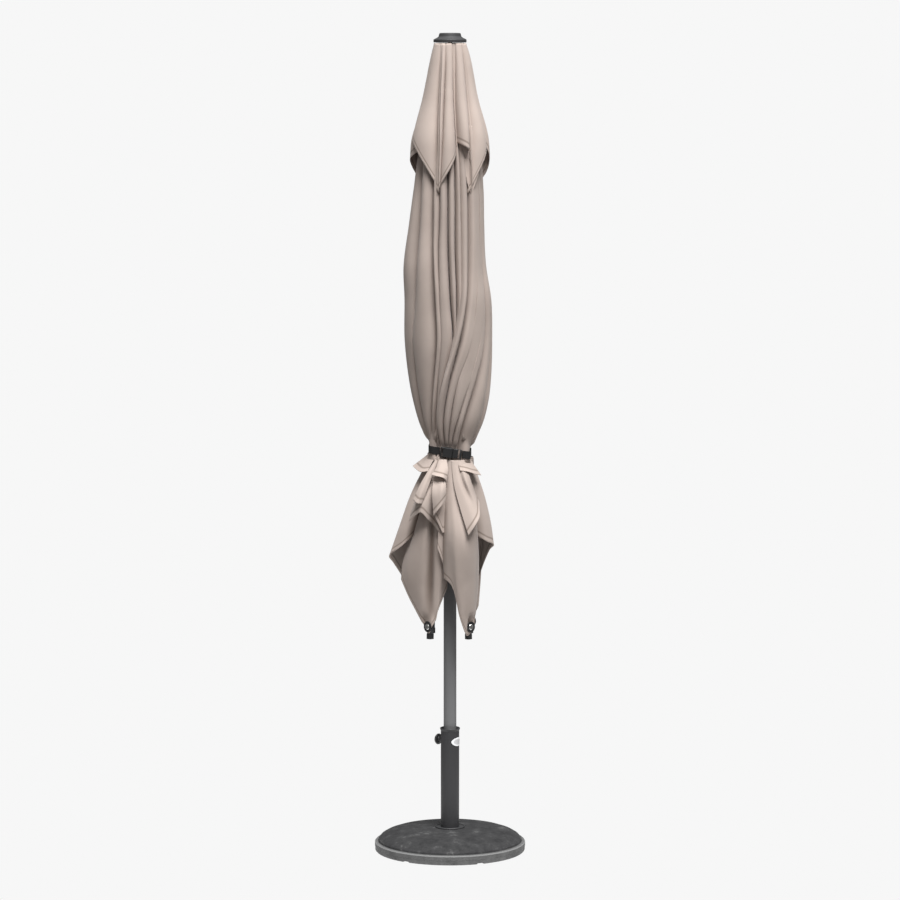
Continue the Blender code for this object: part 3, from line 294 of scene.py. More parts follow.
def hung_patch(columns, rows=60, cols=64):
    """A free-hanging part of the cloth through columns of (x, d, z) points, each from its top to its hem."""
    lines = []
    for column in columns:
        c = np.asarray(column, float)
        s = np.concatenate([[0], np.cumsum(np.linalg.norm(np.diff(c, axis=0), axis=1))])
        lines.append(spline(s / s[-1], c, np.linspace(0, 1, rows)))
    lines = np.stack(lines)  # column, row, xyz
    gap = np.linalg.norm(np.diff(lines, axis=0), axis=2).mean(1)
    place = np.concatenate([[0], np.cumsum(gap)])
    points = spline(place / place[-1], lines, np.linspace(0, 1, cols)).transpose(1, 0, 2)
    points = seated_on_ribs(drawn_in(points))
    height = np.linalg.norm(np.diff(points, axis=0), axis=2)
    down = np.concatenate([np.zeros((1, cols)), np.cumsum(height, 0)], 0)
    down = FLAP_DOWN - (down[-1:] - down)
    across = np.repeat(np.linspace(0, 1, cols)[None] * place[-1], rows, 0)
    return points, across, down


# ---------------------------------------------------------------- fold layouts
FOLD_Z = (2.20, 1.93, 1.80, 1.65, 1.53, 1.41, 1.30, 1.235, 1.10)
FULL = (1, 1, 1, 1, 1, 1, 1, 1, 1)

# Creases of each quarter from its left edge to its right one: azimuths from the front in degrees
# at the heights of FOLD_Z, then how deep the crease goes there, from 0 to 1. A reach is how far out
# the fold between two creases stands, as a share of the hull.
LEFT_FRONT = (
    ((-98, -98, -98, -100, -100, -98, -96, -95, -95), FULL),
    ((-75, -60, -57, -57, -60, -63, -61, -60, -60), (.5, .95, .9, .35, .05, .35, .6, .7, .7)),
    ((-38, -31, -27, -23, -21, -28, -37, -45, -45), (.8, 1, 1, .9, .6, .75, .85, .9, .9)),
    ((-26, -18, -19, -15, -13, -21, -31, -38, -38), (.3, .5, .45, .15, .1, .2, .6, .6, .6)),
    ((-5, -4, -3, 1, 5, -10, -25, -30, -30), (1, 1, 1, .9, .9, .9, .9, .9, .9)),
    ((9, 10, 9, 11, 8, -4, -18, -23, -23), (1, 1, 1, 1, .9, .9, .9, .9, .9)),
    ((21, 21, 22, 20, 14, 2, -12, -17, -17), FULL),
)
LEFT_FRONT_REACH = (
    (1.0, 1.0, 1.0, 1.0, 1.0, 1.0, 1.0, 1.0, 1.0),
    (1.0, 1.0, 1.0, 1.0, 1.0, 1.0, 1.0, 1.0, 1.0),
    (.97, .97, .97, .98, .98, .96, .95, .97, .95),
    (1.0, 1.0, 1.0, 1.0, .98, .93, .88, .92, .9),
    (1.0, .98, .98, .96, .90, .84, .80, .85, .85),
    (.96, .95, .95, .92, .84, .80, .75, .80, .8),
)
RIGHT_FRONT = (
    ((16, 17, 17, 14, 3, -14, -28, -29, -29), FULL),
    ((31, 35, 33, 26, 15, -2, -13, -14, -14), (.9, 1, 1, 1, .9, .75, .75, .85, .85)),
    ((44, 48, 46, 40, 30, 12, 1, -4, -4), (0, 0, 0, 0, 0, .12, .55, .8, .8)),
    ((54, 58, 56, 52, 46, 30, 15, 6, 6), (0, 0, 0, 0, 0, 0, .4, .8, .8)),
    ((64, 68, 65, 62, 60, 44, 28, 22, 22), (.4, .3, .5, 1, 1, .9, .8, .8, .8)),
    ((84, 84, 84, 84, 86, 84, 80, 75, 75), FULL),
)
RIGHT_FRONT_REACH = (
    (.98, 1.0, 1.0, 1.03, 1.05, 1.06, 1.05, 1.02, 1.0),
    (1.0, 1.0, 1.0, 1.0, 1.0, 1.0, 1.0, 1.0, 1.0),
    (1.0, 1.0, 1.0, 1.0, 1.0, 1.0, 1.0, 1.0, 1.0),
    (1.0, 1.0, 1.0, 1.0, 1.0, 1.0, 1.0, 1.0, 1.0),
    (1.0, 1.0, 1.0, 1.0, 1.0, 1.0, 1.0, 1.0, 1.0),
)
RIGHT_BACK = (
    ((82, 82, 82, 82, 84, 82, 78, 73, 73), FULL),
    ((96, 98, 99, 100, 102, 100, 96, 94, 94), (.9, .9, .9, .8, .7, .8, .9, .9, .9)),
    ((112, 113, 112, 110, 110, 110, 108, 106, 106), (1, .8, .9, .95, .9, .9, .9, .9, .9)),
    ((136, 138, 140, 141, 142, 140, 137, 136, 136), (.9, 1, .9, .9, .95, .9, .9, .9, .9)),
    ((150, 153, 156, 158, 157, 154, 151, 150, 150), (.7, .5, .4, .5, .8, .9, .9, .9, .9)),
    ((172, 172, 174, 176, 176, 174, 172, 172, 172), FULL),
)
LEFT_BACK = (
    ((170, 170, 172, 174, 174, 172, 170, 170, 170), FULL),
    ((188, 190, 190, 188, 187, 189, 192, 193, 193), (.9, .8, .8, .9, .9, .9, .9, .9, .9)),
    ((202, 203, 204, 203, 202, 203, 204, 205, 205), (1, 1, 1, .9, .9, .9, .9, .9, .9)),
    ((229, 228, 229, 231, 232, 230, 228, 226, 226), (.9, 1, .8, .9, .9, .9, .9, .9, .9)),
    ((244, 243, 244, 246, 247, 246, 244, 241, 241), (.8, .7, .7, .6, .7, .8, .9, .9, .9)),
    ((264, 264, 264, 262, 262, 264, 266, 267, 267), FULL),
)
BACK_REACH = ((1.0,) * 9,) * 5

# The vent flap's creases from left to right: azimuths and depths at the heights of VENT_Z, then the
# height of the hem there.
VENT_Z = (2.401, 2.36, 2.24, 2.12, 1.96)
VENT_TOP = 2.400
VENT_HEM_ROW = 3  # the row of VENT_Z that the hem's place is read at
VENT_LEFT = (.047, .058, .084, .116, .120)
VENT_RIGHT = (.047, .060, .083, .113, .112)
VENT_FRONT = (.046, .056, .080, .106, .108)
VENT_FOLDS = {
    4: (
        ((-100, -100, -100, -96, -96), (.8, .8, .8, .8, .8), 2.122),
        ((-38, -35, -32, -26, -24), (.2, .5, .7, .7, .4), 1.985),
        ((-29, -27, -22, -17, -19), (.2, .5, .8, .8, .4), 1.964),
        ((-17, -15, -15, -14, -17), (.5, .8, .8, .5, .2), 1.985),
        ((6, 8, 9, 12, 14), (.5, .8, .9, .9, .9), 2.080),
        ((23, 21, 16, 16, 18), (.5, .8, .9, .9, .9), 2.090),
    ),
    3: (
        ((22, 20, 15, 15, 17), (.6, .8, .9, .9, .9), 2.112),
        ((46, 46, 45, 38, 37), (.5, .7, .8, .8, .5), 2.085),
        ((52, 52, 50, 43, 33), (.5, .7, .8, .6, .3), 1.962),
        ((88, 88, 88, 86, 86), (.8, .8, .8, .8, .8), 2.116),
    ),
    2: (
        ((82, 82, 82, 82, 82), (.8, .8, .8, .8, .8), 2.12),
        ((118, 116, 112, 112, 114), (.3, .5, .6, .6, .6), 1.99),
        ((140, 138, 140, 142, 142), (.3, .4, .5, .6, .6), 1.99),
        ((172, 172, 172, 172, 172), (.8, .8, .8, .8, .8), 2.12),
    ),
    1: (
        ((170, 170, 170, 170, 170), (.8, .8, .8, .8, .8), 2.115),
        ((205, 204, 202, 203, 204), (.3, .5, .6, .6, .6), 1.99),
        ((228, 230, 231, 232, 230), (.3, .4, .5, .6, .6), 1.985),
        ((264, 264, 264, 264, 264), (.8, .8, .8, .8, .8), 2.10),
    ),
}

# How far out each of the vent flap's folds reaches; the drawn-in ones make its deep valleys.
VENT_REACH = {
    4: (
        (1.0, 1.0, 1.0, 1.0, 1.0),
        (1.0, .92, .84, .84, .94),
        (1.0, 1.0, 1.0, 1.0, 1.0),
        (1.0, 1.0, 1.0, 1.0, 1.0),
        (.95, .84, .74, .74, .80),
    ),
    3: (
        (1.0, 1.0, 1.0, 1.0, 1.0),
        (1.0, .94, .88, .90, 1.0),
        (1.0, 1.0, 1.0, 1.0, 1.0),
    ),
}

# Free-hanging parts of the cloth. Each is a list of columns from its left side to its right one,
# and each column runs from its top to its hem, as (x, d, z).

# The vent flap's left edge, turned under.
VENT_LEFT_TURN = (
    ((-.082, .040, 2.18), (-.092, .042, 2.12), (-.088, .044, 2.090)),
    ((-.092, .030, 2.18), (-.106, .030, 2.12), (-.108, .026, 2.074)),
    ((-.094, .018, 2.18), (-.112, .014, 2.12), (-.117, .004, 2.062)),
    ((-.090, .000, 2.18), (-.106, -.012, 2.10), (-.110, -.022, 2.036)),
    ((-.084, -.012, 2.18), (-.096, -.028, 2.10), (-.096, -.034, 2.010)),
)

# The vent flap's edge that is turned under in front.
VENT_INNER_TURN = (
    ((.030, .072, 2.16), (.036, .078, 2.08), (.050, .080, 1.995)),
    ((.040, .070, 2.16), (.050, .074, 2.06), (.062, .076, 1.962)),
    ((.052, .066, 2.16), (.066, .072, 2.06), (.072, .074, 1.985)),
    ((.064, .060, 2.16), (.080, .068, 2.06), (.084, .068, 2.020)),
)

# The front left tail, down to its rib's end.
FRONT_LEFT_TAIL = (
    ((-.052, .020, 1.19), (-.085, .030, 1.06), (-.118, .040, .94), (-.140, .032, .87), (-.145, .022, .820)),
    ((-.052, .032, 1.19), (-.080, .055, 1.06), (-.108, .070, .94), (-.126, .056, .85), (-.122, .032, .768)),
    ((-.050, .042, 1.19), (-.070, .078, 1.06), (-.090, .092, .94), (-.104, .070, .83), (-.099, .038, .724)),
    ((-.046, .052, 1.19), (-.058, .090, 1.06), (-.072, .100, .94), (-.082, .074, .80), (-.080, .049, .690)),
    ((-.040, .060, 1.19), (-.048, .082, 1.06), (-.054, .084, .94), (-.057, .070, .80), (-.062, .062, .664)),
    ((-.034, .062, 1.19), (-.038, .090, 1.06), (-.040, .098, .94), (-.043, .088, .84), (-.046, .066, .690)),
    ((-.026, .064, 1.19), (-.026, .088, 1.06), (-.024, .096, .94), (-.026, .088, .85), (-.034, .076, .738)),
    ((-.018, .064, 1.19), (-.014, .074, 1.06), (-.008, .072, .94), (-.006, .060, .86), (-.009, .052, .797)),
)

# The flap over it, with the zigzag hem.
ZIGZAG_FLAP = (
    ((-.050, .036, 1.185), (-.086, .066, 1.10), (-.110, .082, 1.04), (-.121, .084, 1.001)),
    ((-.046, .046, 1.185), (-.078, .092, 1.10), (-.100, .108, 1.05), (-.104, .110, 1.020)),
    ((-.040, .054, 1.185), (-.064, .106, 1.10), (-.082, .124, 1.06), (-.086, .126, 1.032)),
    ((-.032, .060, 1.185), (-.046, .106, 1.10), (-.060, .118, 1.05), (-.066, .120, 1.012)),
    ((-.026, .062, 1.185), (-.034, .094, 1.10), (-.044, .104, 1.04), (-.050, .108, .995)),
    ((-.020, .064, 1.185), (-.022, .100, 1.10), (-.030, .116, 1.03), (-.037, .118, .980)),
    ((-.014, .064, 1.185), (-.012, .092, 1.10), (-.016, .102, 1.03), (-.023, .104, .966)),
)

# The edge that falls in ripples beside the middle, from its upper turn to its lower one.
RIPPLE_UPPER = (
    ((-.048, .100, 1.135), (-.052, .134, 1.09), (-.048, .142, 1.026)),
    ((-.036, .106, 1.135), (-.038, .142, 1.09), (-.037, .150, 1.040)),
    ((-.024, .108, 1.135), (-.024, .144, 1.10), (-.025, .150, 1.056)),
    ((-.013, .104, 1.135), (-.012, .134, 1.10), (-.013, .138, 1.071)),
)

RIPPLE_MIDDLE = (
    ((-.045, .112, 1.10), (-.048, .132, 1.027)),
    ((-.036, .112, 1.10), (-.039, .132, 1.010)),
    ((-.028, .108, 1.10), (-.030, .126, .991)),
    ((-.020, .102, 1.10), (-.021, .118, .971)),
    ((-.009, .094, 1.10), (-.009, .104, .985)),
)

RIPPLE_LOWER = (
    ((-.030, .094, 1.05), (-.034, .114, .98), (-.037, .116, .926)),
    ((-.024, .094, 1.05), (-.026, .112, .98), (-.029, .112, .904)),
    ((-.017, .092, 1.05), (-.018, .106, .98), (-.021, .104, .880)),
    ((-.009, .086, 1.05), (-.008, .096, .96), (-.013, .092, .857)),
    ((.000, .080, 1.05), (.002, .086, .96), (-.004, .080, .838)),
)

# The cuff turned out under the buckle.
CUFF = (
    ((-.032, .070, 1.182), (-.042, .096, 1.158), (-.055, .114, 1.142)),
    ((-.026, .072, 1.182), (-.032, .106, 1.158), (-.040, .128, 1.140)),
    ((-.018, .072, 1.182), (-.018, .108, 1.156), (-.022, .132, 1.136)),
    ((-.010, .072, 1.182), (-.006, .100, 1.156), (-.010, .120, 1.126)),
)

# The narrow band that falls to the left.
NARROW_BAND = (
    ((-.042, .062, 1.182), (-.068, .094, 1.145), (-.092, .112, 1.104), (-.108, .118, 1.069)),
    ((-.040, .066, 1.180), (-.062, .104, 1.140), (-.082, .126, 1.096), (-.096, .134, 1.060)),
    ((-.036, .066, 1.178), (-.054, .102, 1.132), (-.070, .122, 1.092), (-.083, .128, 1.058)),
)

# The ruffle at the left of the strap.
LEFT_RUFFLE = (
    ((-.064, .010, 1.192), (-.110, .026, 1.158)),
    ((-.060, .028, 1.190), (-.098, .052, 1.150)),
    ((-.054, .042, 1.188), (-.086, .074, 1.146)),
    ((-.046, .052, 1.186), (-.066, .092, 1.150)),
)

# The front right tail, down to its rib's end.
FRONT_RIGHT_TAIL = (
    ((-.010, .060, 1.18), (-.016, .100, 1.06), (-.022, .108, .95), (-.018, .100, .835)),
    ((.000, .066, 1.18), (-.004, .104, 1.07), (.000, .134, .95), (.006, .116, .812)),
    ((.010, .066, 1.18), (.012, .110, 1.07), (.022, .148, .95), (.026, .126, .80), (.030, .100, .712)),
    ((.022, .064, 1.18), (.030, .106, 1.07), (.046, .146, .95), (.050, .114, .80), (.050, .079, .660)),
    ((.036, .058, 1.18), (.046, .092, 1.07), (.066, .124, .95), (.069, .094, .80), (.064, .066, .668)),
    ((.048, .048, 1.18), (.064, .084, 1.06), (.080, .092, .95), (.080, .074, .84), (.073, .056, .702)),
    ((.056, .036, 1.18), (.070, .060, 1.06), (.082, .062, .95), (.085, .056, .87), (.084, .048, .800)),
)

# The panel folded over it, which catches the light.
LIT_PANEL = (
    ((.004, .070, 1.180), (.012, .102, 1.110), (.034, .136, 1.030), (.054, .158, .968)),
    ((.012, .072, 1.180), (.028, .106, 1.110), (.056, .134, 1.045), (.074, .156, .998)),
    ((.020, .072, 1.180), (.038, .100, 1.115), (.066, .122, 1.058), (.086, .140, 1.018)),
    ((.030, .068, 1.180), (.048, .106, 1.120), (.072, .112, 1.070), (.088, .112, 1.044)),
    ((.042, .060, 1.180), (.060, .088, 1.125), (.076, .092, 1.080), (.086, .092, 1.060)),
)

# The ruffle at the right of the strap.
RIGHT_RUFFLE = (
    ((.020, .068, 1.180), (.030, .092, 1.152)),
    ((.036, .062, 1.178), (.054, .088, 1.148)),
    ((.050, .050, 1.176), (.074, .074, 1.140)),
    ((.062, .034, 1.174), (.092, .046, 1.133)),
)

# The right side's loop and the back right tail.
BACK_RIGHT_TAIL = (
    ((.050, .036, 1.18), (.063, .064, 1.08), (.072, .068, 1.00), (.075, .066, .958)),
    ((.058, .020, 1.18), (.084, .040, 1.08), (.102, .040, 1.00), (.110, .036, .934)),
    ((.062, .008, 1.18), (.098, .016, 1.08), (.120, .008, .99), (.130, .004, .920)),
    ((.062, -.006, 1.18), (.092, -.020, 1.08), (.112, -.034, .98), (.116, -.038, .896)),
    ((.058, -.020, 1.18), (.084, -.044, 1.08), (.098, -.062, .95), (.090, -.064, .850), (.084, -.062, .80)),
    ((.052, -.032, 1.18), (.072, -.064, 1.08), (.084, -.080, .93), (.086, -.072, .80), (.079, -.058, .672)),
    ((.040, -.044, 1.18), (.052, -.084, 1.08), (.058, -.104, .93), (.060, -.092, .80), (.060, -.072, .680)),
    ((.026, -.054, 1.18), (.034, -.098, 1.08), (.034, -.118, .93), (.034, -.102, .81), (.038, -.084, .74)),
    ((.010, -.060, 1.18), (.008, -.092, 1.08), (.002, -.100, .95), (-.002, -.090, .86), (.004, -.084, .82)),
    ((-.004, -.058, 1.18), (-.010, -.082, 1.08), (-.016, -.088, .95), (-.018, -.082, .88)),
)

# The left side's loop and the back left tail.
BACK_LEFT_TAIL = (
    ((-.044, .034, 1.18), (-.074, .054, 1.08), (-.096, .060, 1.00), (-.108, .062, .956)),
    ((-.052, .026, 1.18), (-.094, .050, 1.08), (-.128, .054, .98), (-.146, .052, .920)),
    ((-.060, .014, 1.18), (-.112, .026, 1.08), (-.152, .022, .97), (-.180, .012, .890)),
    ((-.062, .000, 1.18), (-.108, -.006, 1.08), (-.146, -.020, .96), (-.168, -.026, .862)),
    ((-.060, -.014, 1.18), (-.098, -.034, 1.08), (-.130, -.052, .95), (-.148, -.056, .826)),
    (
        (-.056, -.026, 1.18), (-.082, -.056, 1.08), (-.100, -.078, .95),
        (-.112, -.078, .82), (-.104, -.074, .748),
    ),
    (
        (-.048, -.036, 1.18), (-.060, -.072, 1.08), (-.068, -.096, .95),
        (-.070, -.088, .80), (-.058, -.082, .672),
    ),
    (
        (-.036, -.046, 1.18), (-.042, -.090, 1.08), (-.040, -.116, .95),
        (-.040, -.108, .82), (-.042, -.090, .690),
    ),
    (
        (-.022, -.056, 1.18), (-.022, -.094, 1.08), (-.014, -.116, .95),
        (-.012, -.108, .84), (-.022, -.096, .76),
    ),
    (
        (-.006, -.060, 1.18), (-.004, -.096, 1.08), (.000, -.112, .95),
        (.002, -.106, .86), (.000, -.098, .82),
    ),
    ((.004, -.061, 1.18), (.008, -.100, 1.08), (.012, -.116, .95), (.012, -.112, .88)),
)

# The parts of each quarter, and of its vent flap.
SKIRTS = {
    4: (
        FRONT_LEFT_TAIL, ZIGZAG_FLAP, RIPPLE_UPPER, RIPPLE_MIDDLE, RIPPLE_LOWER,
        CUFF, NARROW_BAND, LEFT_RUFFLE,
    ),
    3: (FRONT_RIGHT_TAIL, LIT_PANEL, RIGHT_RUFFLE),
    2: (BACK_RIGHT_TAIL,),
    1: (BACK_LEFT_TAIL,),
}
VENT_FLAPS = {4: (), 3: (VENT_INNER_TURN,), 2: (), 1: (VENT_LEFT_TURN,)}
QUARTER_FOLDS = {
    4: (LEFT_FRONT, LEFT_FRONT_REACH),
    3: (RIGHT_FRONT, RIGHT_FRONT_REACH),
    2: (RIGHT_BACK, BACK_REACH),
    1: (LEFT_BACK, BACK_REACH),
}


# ---------------------------------------------------------------- folds
def lobe_profile(square, count, power):
    """How far across and how far out each of a fold's columns lies, spread evenly along the cloth."""
    x = np.cos(np.linspace(math.pi, 0.0, 801))
    across = np.sign(x) * np.abs(x) ** 0.6
    rise = (1.0 - np.abs(across) ** square) ** power
    rise[0] = rise[-1] = 0.0
    length = np.concatenate([[0], np.cumsum(np.hypot(np.diff(across) * 0.018, np.diff(rise) * 0.065))])
    want = np.linspace(0, length[-1], count)
    return np.interp(want, length, across), np.interp(want, length, rise)


def gathered(knots, creases, hull_at, z, reach=None, square=2.2, cols=30, depth=.030, keep=True,
             power=0.30):
    """Cloth gathered into folds between its creases, each given as azimuths and depths at the knots.

    z gives the heights, from the fold and the places across it. keep holds the cloth off the ribs and
    inside the strap.
    """
    across, rise = lobe_profile(square, cols, power)
    points = []
    for i in range(len(creases) - 1):
        zz = z(i, (across + 1) / 2)
        left = spline(knots, creases[i][0], zz)
        right = np.maximum(spline(knots, creases[i + 1][0], zz), left + 1.0)
        cut_left = np.clip(spline(knots, creases[i][1], zz), 0, 1)
        cut_right = np.clip(spline(knots, creases[i + 1][1], zz), 0, 1)
        azimuth = (left + right) / 2 + (right - left) / 2 * across[None]
        out = hull_at(azimuth, zz)
        if reach is not None:
            out = out * spline(knots, reach[i], zz)
        cut = np.where(across[None] < 0, cut_left, cut_right)
        r = out - (out - depth) * cut * (1.0 - rise[None])
        # A slow wave keeps the folds from being quite even.
        r = r * (1.0 + 0.012 * np.sin(11.0 * zz + 0.11 * azimuth + 1.7 * i))
        if keep:
            r = rib_keep_out(azimuth, zz, r)
        a = np.radians(azimuth)
        fold = np.stack([r * np.sin(a), r * np.cos(a), zz], -1)
        if keep:
            fold = drawn_in(fold)
        points.append(fold if i == 0 else fold[:, 1:])
    points = np.concatenate(points, 1)
    step = np.linalg.norm(np.diff(points, axis=1), axis=2).mean(0)
    u = np.concatenate([[0], np.cumsum(step)])
    across_m = np.repeat(u[None], points.shape[0], 0)
    down_m = MAIN_DOWN - (points[..., 2] - points[-1:, :, 2])
    return points, across_m, down_m + (0.0 if keep else FLAP_DOWN - MAIN_DOWN)


def level_rows(top, bottom, rows):
    """A height function for gathered(), with the same heights right across every fold."""
    z = np.linspace(top, bottom, rows)[:, None]
    return lambda fold, place: z + 0.0 * place[None]


def main_patch(k):
    """The outside of a quarter, gathered down to the tie."""
    creases, reach = QUARTER_FOLDS[k]
    return gathered(FOLD_Z, creases, hull, level_rows(BUNDLE_TOP, BUNDLE_BOTTOM, 118), reach)


def inner_patch(k):
    """The rest of the quarter's cloth, pleated inside the bundle against the pole."""
    middle = RIB_FRONT_DEG[k]
    creases = [((middle + off, middle + off), (1, 1)) for off in INNER_CREASES_DEG]

    def inner_hull(azimuth, z):
        return INNER_REACH * hull(azimuth, z)

    rows = level_rows(INNER_TOP, INNER_BOTTOM, 60)
    return gathered((2.2, 1.1), creases, inner_hull, rows, cols=16, depth=.026)


def vent_hull(azimuth, z):
    """Outer radius of the vent flap at an azimuth from the front."""
    s = np.sin(np.radians(azimuth))
    side = np.where(s < 0, spline(VENT_Z, VENT_LEFT, z), spline(VENT_Z, VENT_RIGHT, z))
    front = spline(VENT_Z, VENT_FRONT, z)
    return front + (side - front) * np.abs(s) ** 1.5


def vent_patch(k):
    """A quarter of the vent flap, with its pointed corner."""
    folds = VENT_FOLDS[k]
    v = np.linspace(0, 1, 56)[:, None]

    def height(i, place):
        low, high = folds[i][2], folds[i + 1][2]
        left, right = (folds[j][0][VENT_HEM_ROW] for j in (i, i + 1))
        share = place
        if abs(left) <= 100 and abs(right) <= 100:
            # In front, the hem runs straight as seen from the front.
            side = np.sin(np.radians(left + (right - left) * place))
            share = (side - side[0]) / (side[-1] - side[0])
        hem = low + (high - low) * share[None]
        return VENT_TOP + (hem - VENT_TOP) * v

    creases = [(f[0], f[1]) for f in folds]
    return gathered(VENT_Z, creases, vent_hull, height, VENT_REACH.get(k), square=2.0, cols=34,
                    depth=.042, keep=False, power=0.38)


def placed(patch):
    """A patch moved from the front frame into the row's frame."""
    points, across, down = patch
    return to_world(points[..., 0], points[..., 1], points[..., 2]), across, down


def thicken(thing):
    """Gives a sheet of cloth its thickness."""
    mod = thing.modifiers.new("thickness", "SOLIDIFY")
    mod.thickness = CLOTH_THICKNESS
    mod.offset = 0.0
    mod.use_even_offset = False


# ---------------------------------------------------------------- materials
def material(name, base, rough):
    """A new material, with its nodes, its links and its shader."""
    mat = bpy.data.materials.new(name)
    mat.use_nodes = True
    shader = mat.node_tree.nodes["Principled BSDF"]
    shader.inputs["Base Color"].default_value = (*base, 1)
    shader.inputs["Roughness"].default_value = rough
    return mat, mat.node_tree.nodes, mat.node_tree.links, shader


def noise(nodes, links, scale, detail, rough, coord):
    """Cloudy noise over the coordinates."""
    tex = nodes.new("ShaderNodeTexNoise")
    tex.inputs["Scale"].default_value = scale
    tex.inputs["Detail"].default_value = detail
    tex.inputs["Roughness"].default_value = rough
    links.new(coord, tex.inputs["Vector"])
    return tex.outputs["Fac"]


def ramp(nodes, links, source, stops):
    """Colours read at the source's value from stops of (place, colour)."""
    node = nodes.new("ShaderNodeValToRGB")
    elements = node.color_ramp.elements
    for i, (place, colour) in enumerate(stops):
        element = elements[i] if i < 2 else elements.new(place)
        element.position = place
        element.color = (*colour, 1)
    links.new(source, node.inputs["Fac"])
    return node.outputs["Color"]


def mapped(nodes, links, source, low, high, to_low=0.0, to_high=1.0):
    """The source's value, mapped from low and high to to_low and to_high, and held between them."""
    node = nodes.new("ShaderNodeMapRange")
    node.inputs["From Min"].default_value = low
    node.inputs["From Max"].default_value = high
    node.inputs["To Min"].default_value = to_low
    node.inputs["To Max"].default_value = to_high
    links.new(source, node.inputs["Value"])
    return node


def mixed(nodes, links, factor, first, second):
    """The first colour giving way to the second as the factor rises."""
    node = nodes.new("ShaderNodeMix")
    node.data_type = "RGBA"
    links.new(factor, node.inputs["Factor"])
    links.new(first, node.inputs[MIX_FIRST])
    links.new(second, node.inputs[MIX_SECOND])
    return node.outputs[MIX_RESULT]


def multiplied(nodes, links, first, second):
    """One colour times another."""
    node = nodes.new("ShaderNodeMix")
    node.data_type = "RGBA"
    node.blend_type = "MULTIPLY"
    node.inputs["Factor"].default_value = 1.0
    links.new(first, node.inputs[MIX_FIRST])
    links.new(second, node.inputs[MIX_SECOND])
    return node.outputs[MIX_RESULT]


def bump(nodes, links, shader, source, strength, distance):
    """Roughens the surface by the source's value."""
    node = nodes.new("ShaderNodeBump")
    node.inputs["Strength"].default_value = strength
    node.inputs["Distance"].default_value = distance
    links.new(source, node.inputs["Height"])
    links.new(node.outputs["Normal"], shader.inputs["Normal"])


def fabric_material(name, level):
    """Woven canopy cloth. level sets how light it is."""
    mat, nodes, links, shader = material(name, FABRIC_PALE, 0.92)
    coords = nodes.new("ShaderNodeTexCoord")
    soft = noise(nodes, links, 9.0, 3.0, 0.5, coords.outputs["Object"])
    dark, pale = (tuple(level * c for c in tone) for tone in (FABRIC_DARK, FABRIC_PALE))
    tone = ramp(nodes, links, soft, ((.3, dark), (.7, pale)))
    # A doubled hem with a row of stitching, by the distance down the cloth.
    split = nodes.new("ShaderNodeSeparateXYZ")
    links.new(coords.outputs["UV"], split.inputs["Vector"])
    place = mapped(nodes, links, split.outputs["Y"], STITCH_FROM, FLAP_DOWN)
    bands = ((0.60, WHITE), (0.64, STITCHING), (0.72, STITCHING), (0.76, HEM))
    hem = ramp(nodes, links, place.outputs["Result"], bands)
    # The cloth inside the folds is darker: painted shade, standing in for the shadow that the folds cast into
    # their valleys.
    inside = nodes.new("ShaderNodeAttribute")
    inside.attribute_name = "painted_fold_shade"
    shade = ramp(nodes, links, inside.outputs["Fac"], ((0.0, WHITE), (1.0, FOLD_SHADE)))
    colour = multiplied(nodes, links, multiplied(nodes, links, tone, hem), shade)
    links.new(colour, shader.inputs["Base Color"])
    shader.inputs["Sheen Weight"].default_value = 0.15
    shader.inputs["Specular IOR Level"].default_value = 0.15
    fine = noise(nodes, links, 420.0, 2.0, 0.6, coords.outputs["Object"])
    bump(nodes, links, shader, fine, 0.25, 0.0012)
    return mat


def concrete_material():
    """Cast concrete, painted dark on top, with a painted highlight round its lip and its wall painted paler
    to stand in for light.
    """
    mat, nodes, links, shader = material("concrete_look", (.10, .10, .10), 0.85)
    geo = nodes.new("ShaderNodeTexCoord").outputs["Object"]
    wear = noise(nodes, links, 22.0, 9.0, 0.75, geo)
    paint = ((.36, (.020, .020, .021)), (.56, (.038, .038, .039)), (.72, (.130, .130, .129)))
    tone = ramp(nodes, links, wear, paint)
    split = nodes.new("ShaderNodeSeparateXYZ")
    links.new(geo, split.inputs["Vector"])
    height = split.outputs["Z"]
    # A painted highlight runs round the cast lip at the edge: a thin paler line where the light catches it.
    below = mapped(nodes, links, height, 0.0300, 0.0275)
    above = mapped(nodes, links, height, 0.0235, 0.0262)
    lip = nodes.new("ShaderNodeMath")
    lip.operation = "MULTIPLY"
    links.new(below.outputs["Result"], lip.inputs[0])
    links.new(above.outputs["Result"], lip.inputs[1])
    # The colour of the lip's painted highlight.
    lip_highlight = nodes.new("ShaderNodeRGB").outputs["Color"]
    lip_highlight.default_value = (*LIP_HIGHLIGHT, 1)
    top = mixed(nodes, links, lip.outputs["Value"], tone, lip_highlight)
    # Below the lip the wall is painted paler than the dark top: painted light, making up for the top light
    # that falls less on the upright wall than on the top.
    wall = mapped(nodes, links, height, 0.0245, 0.0235)
    wall_painted_light = ramp(nodes, links, wear, ((.35, (.050, .050, .050)), (.7, (.10, .10, .10))))
    colour = mixed(nodes, links, wall.outputs["Result"], top, wall_painted_light)
    links.new(colour, shader.inputs["Base Color"])
    shader.inputs["Specular IOR Level"].default_value = 0.25
    grain = noise(nodes, links, 260.0, 5.0, 0.7, geo)
    bump(nodes, links, shader, grain, 0.35, 0.002)
    return mat


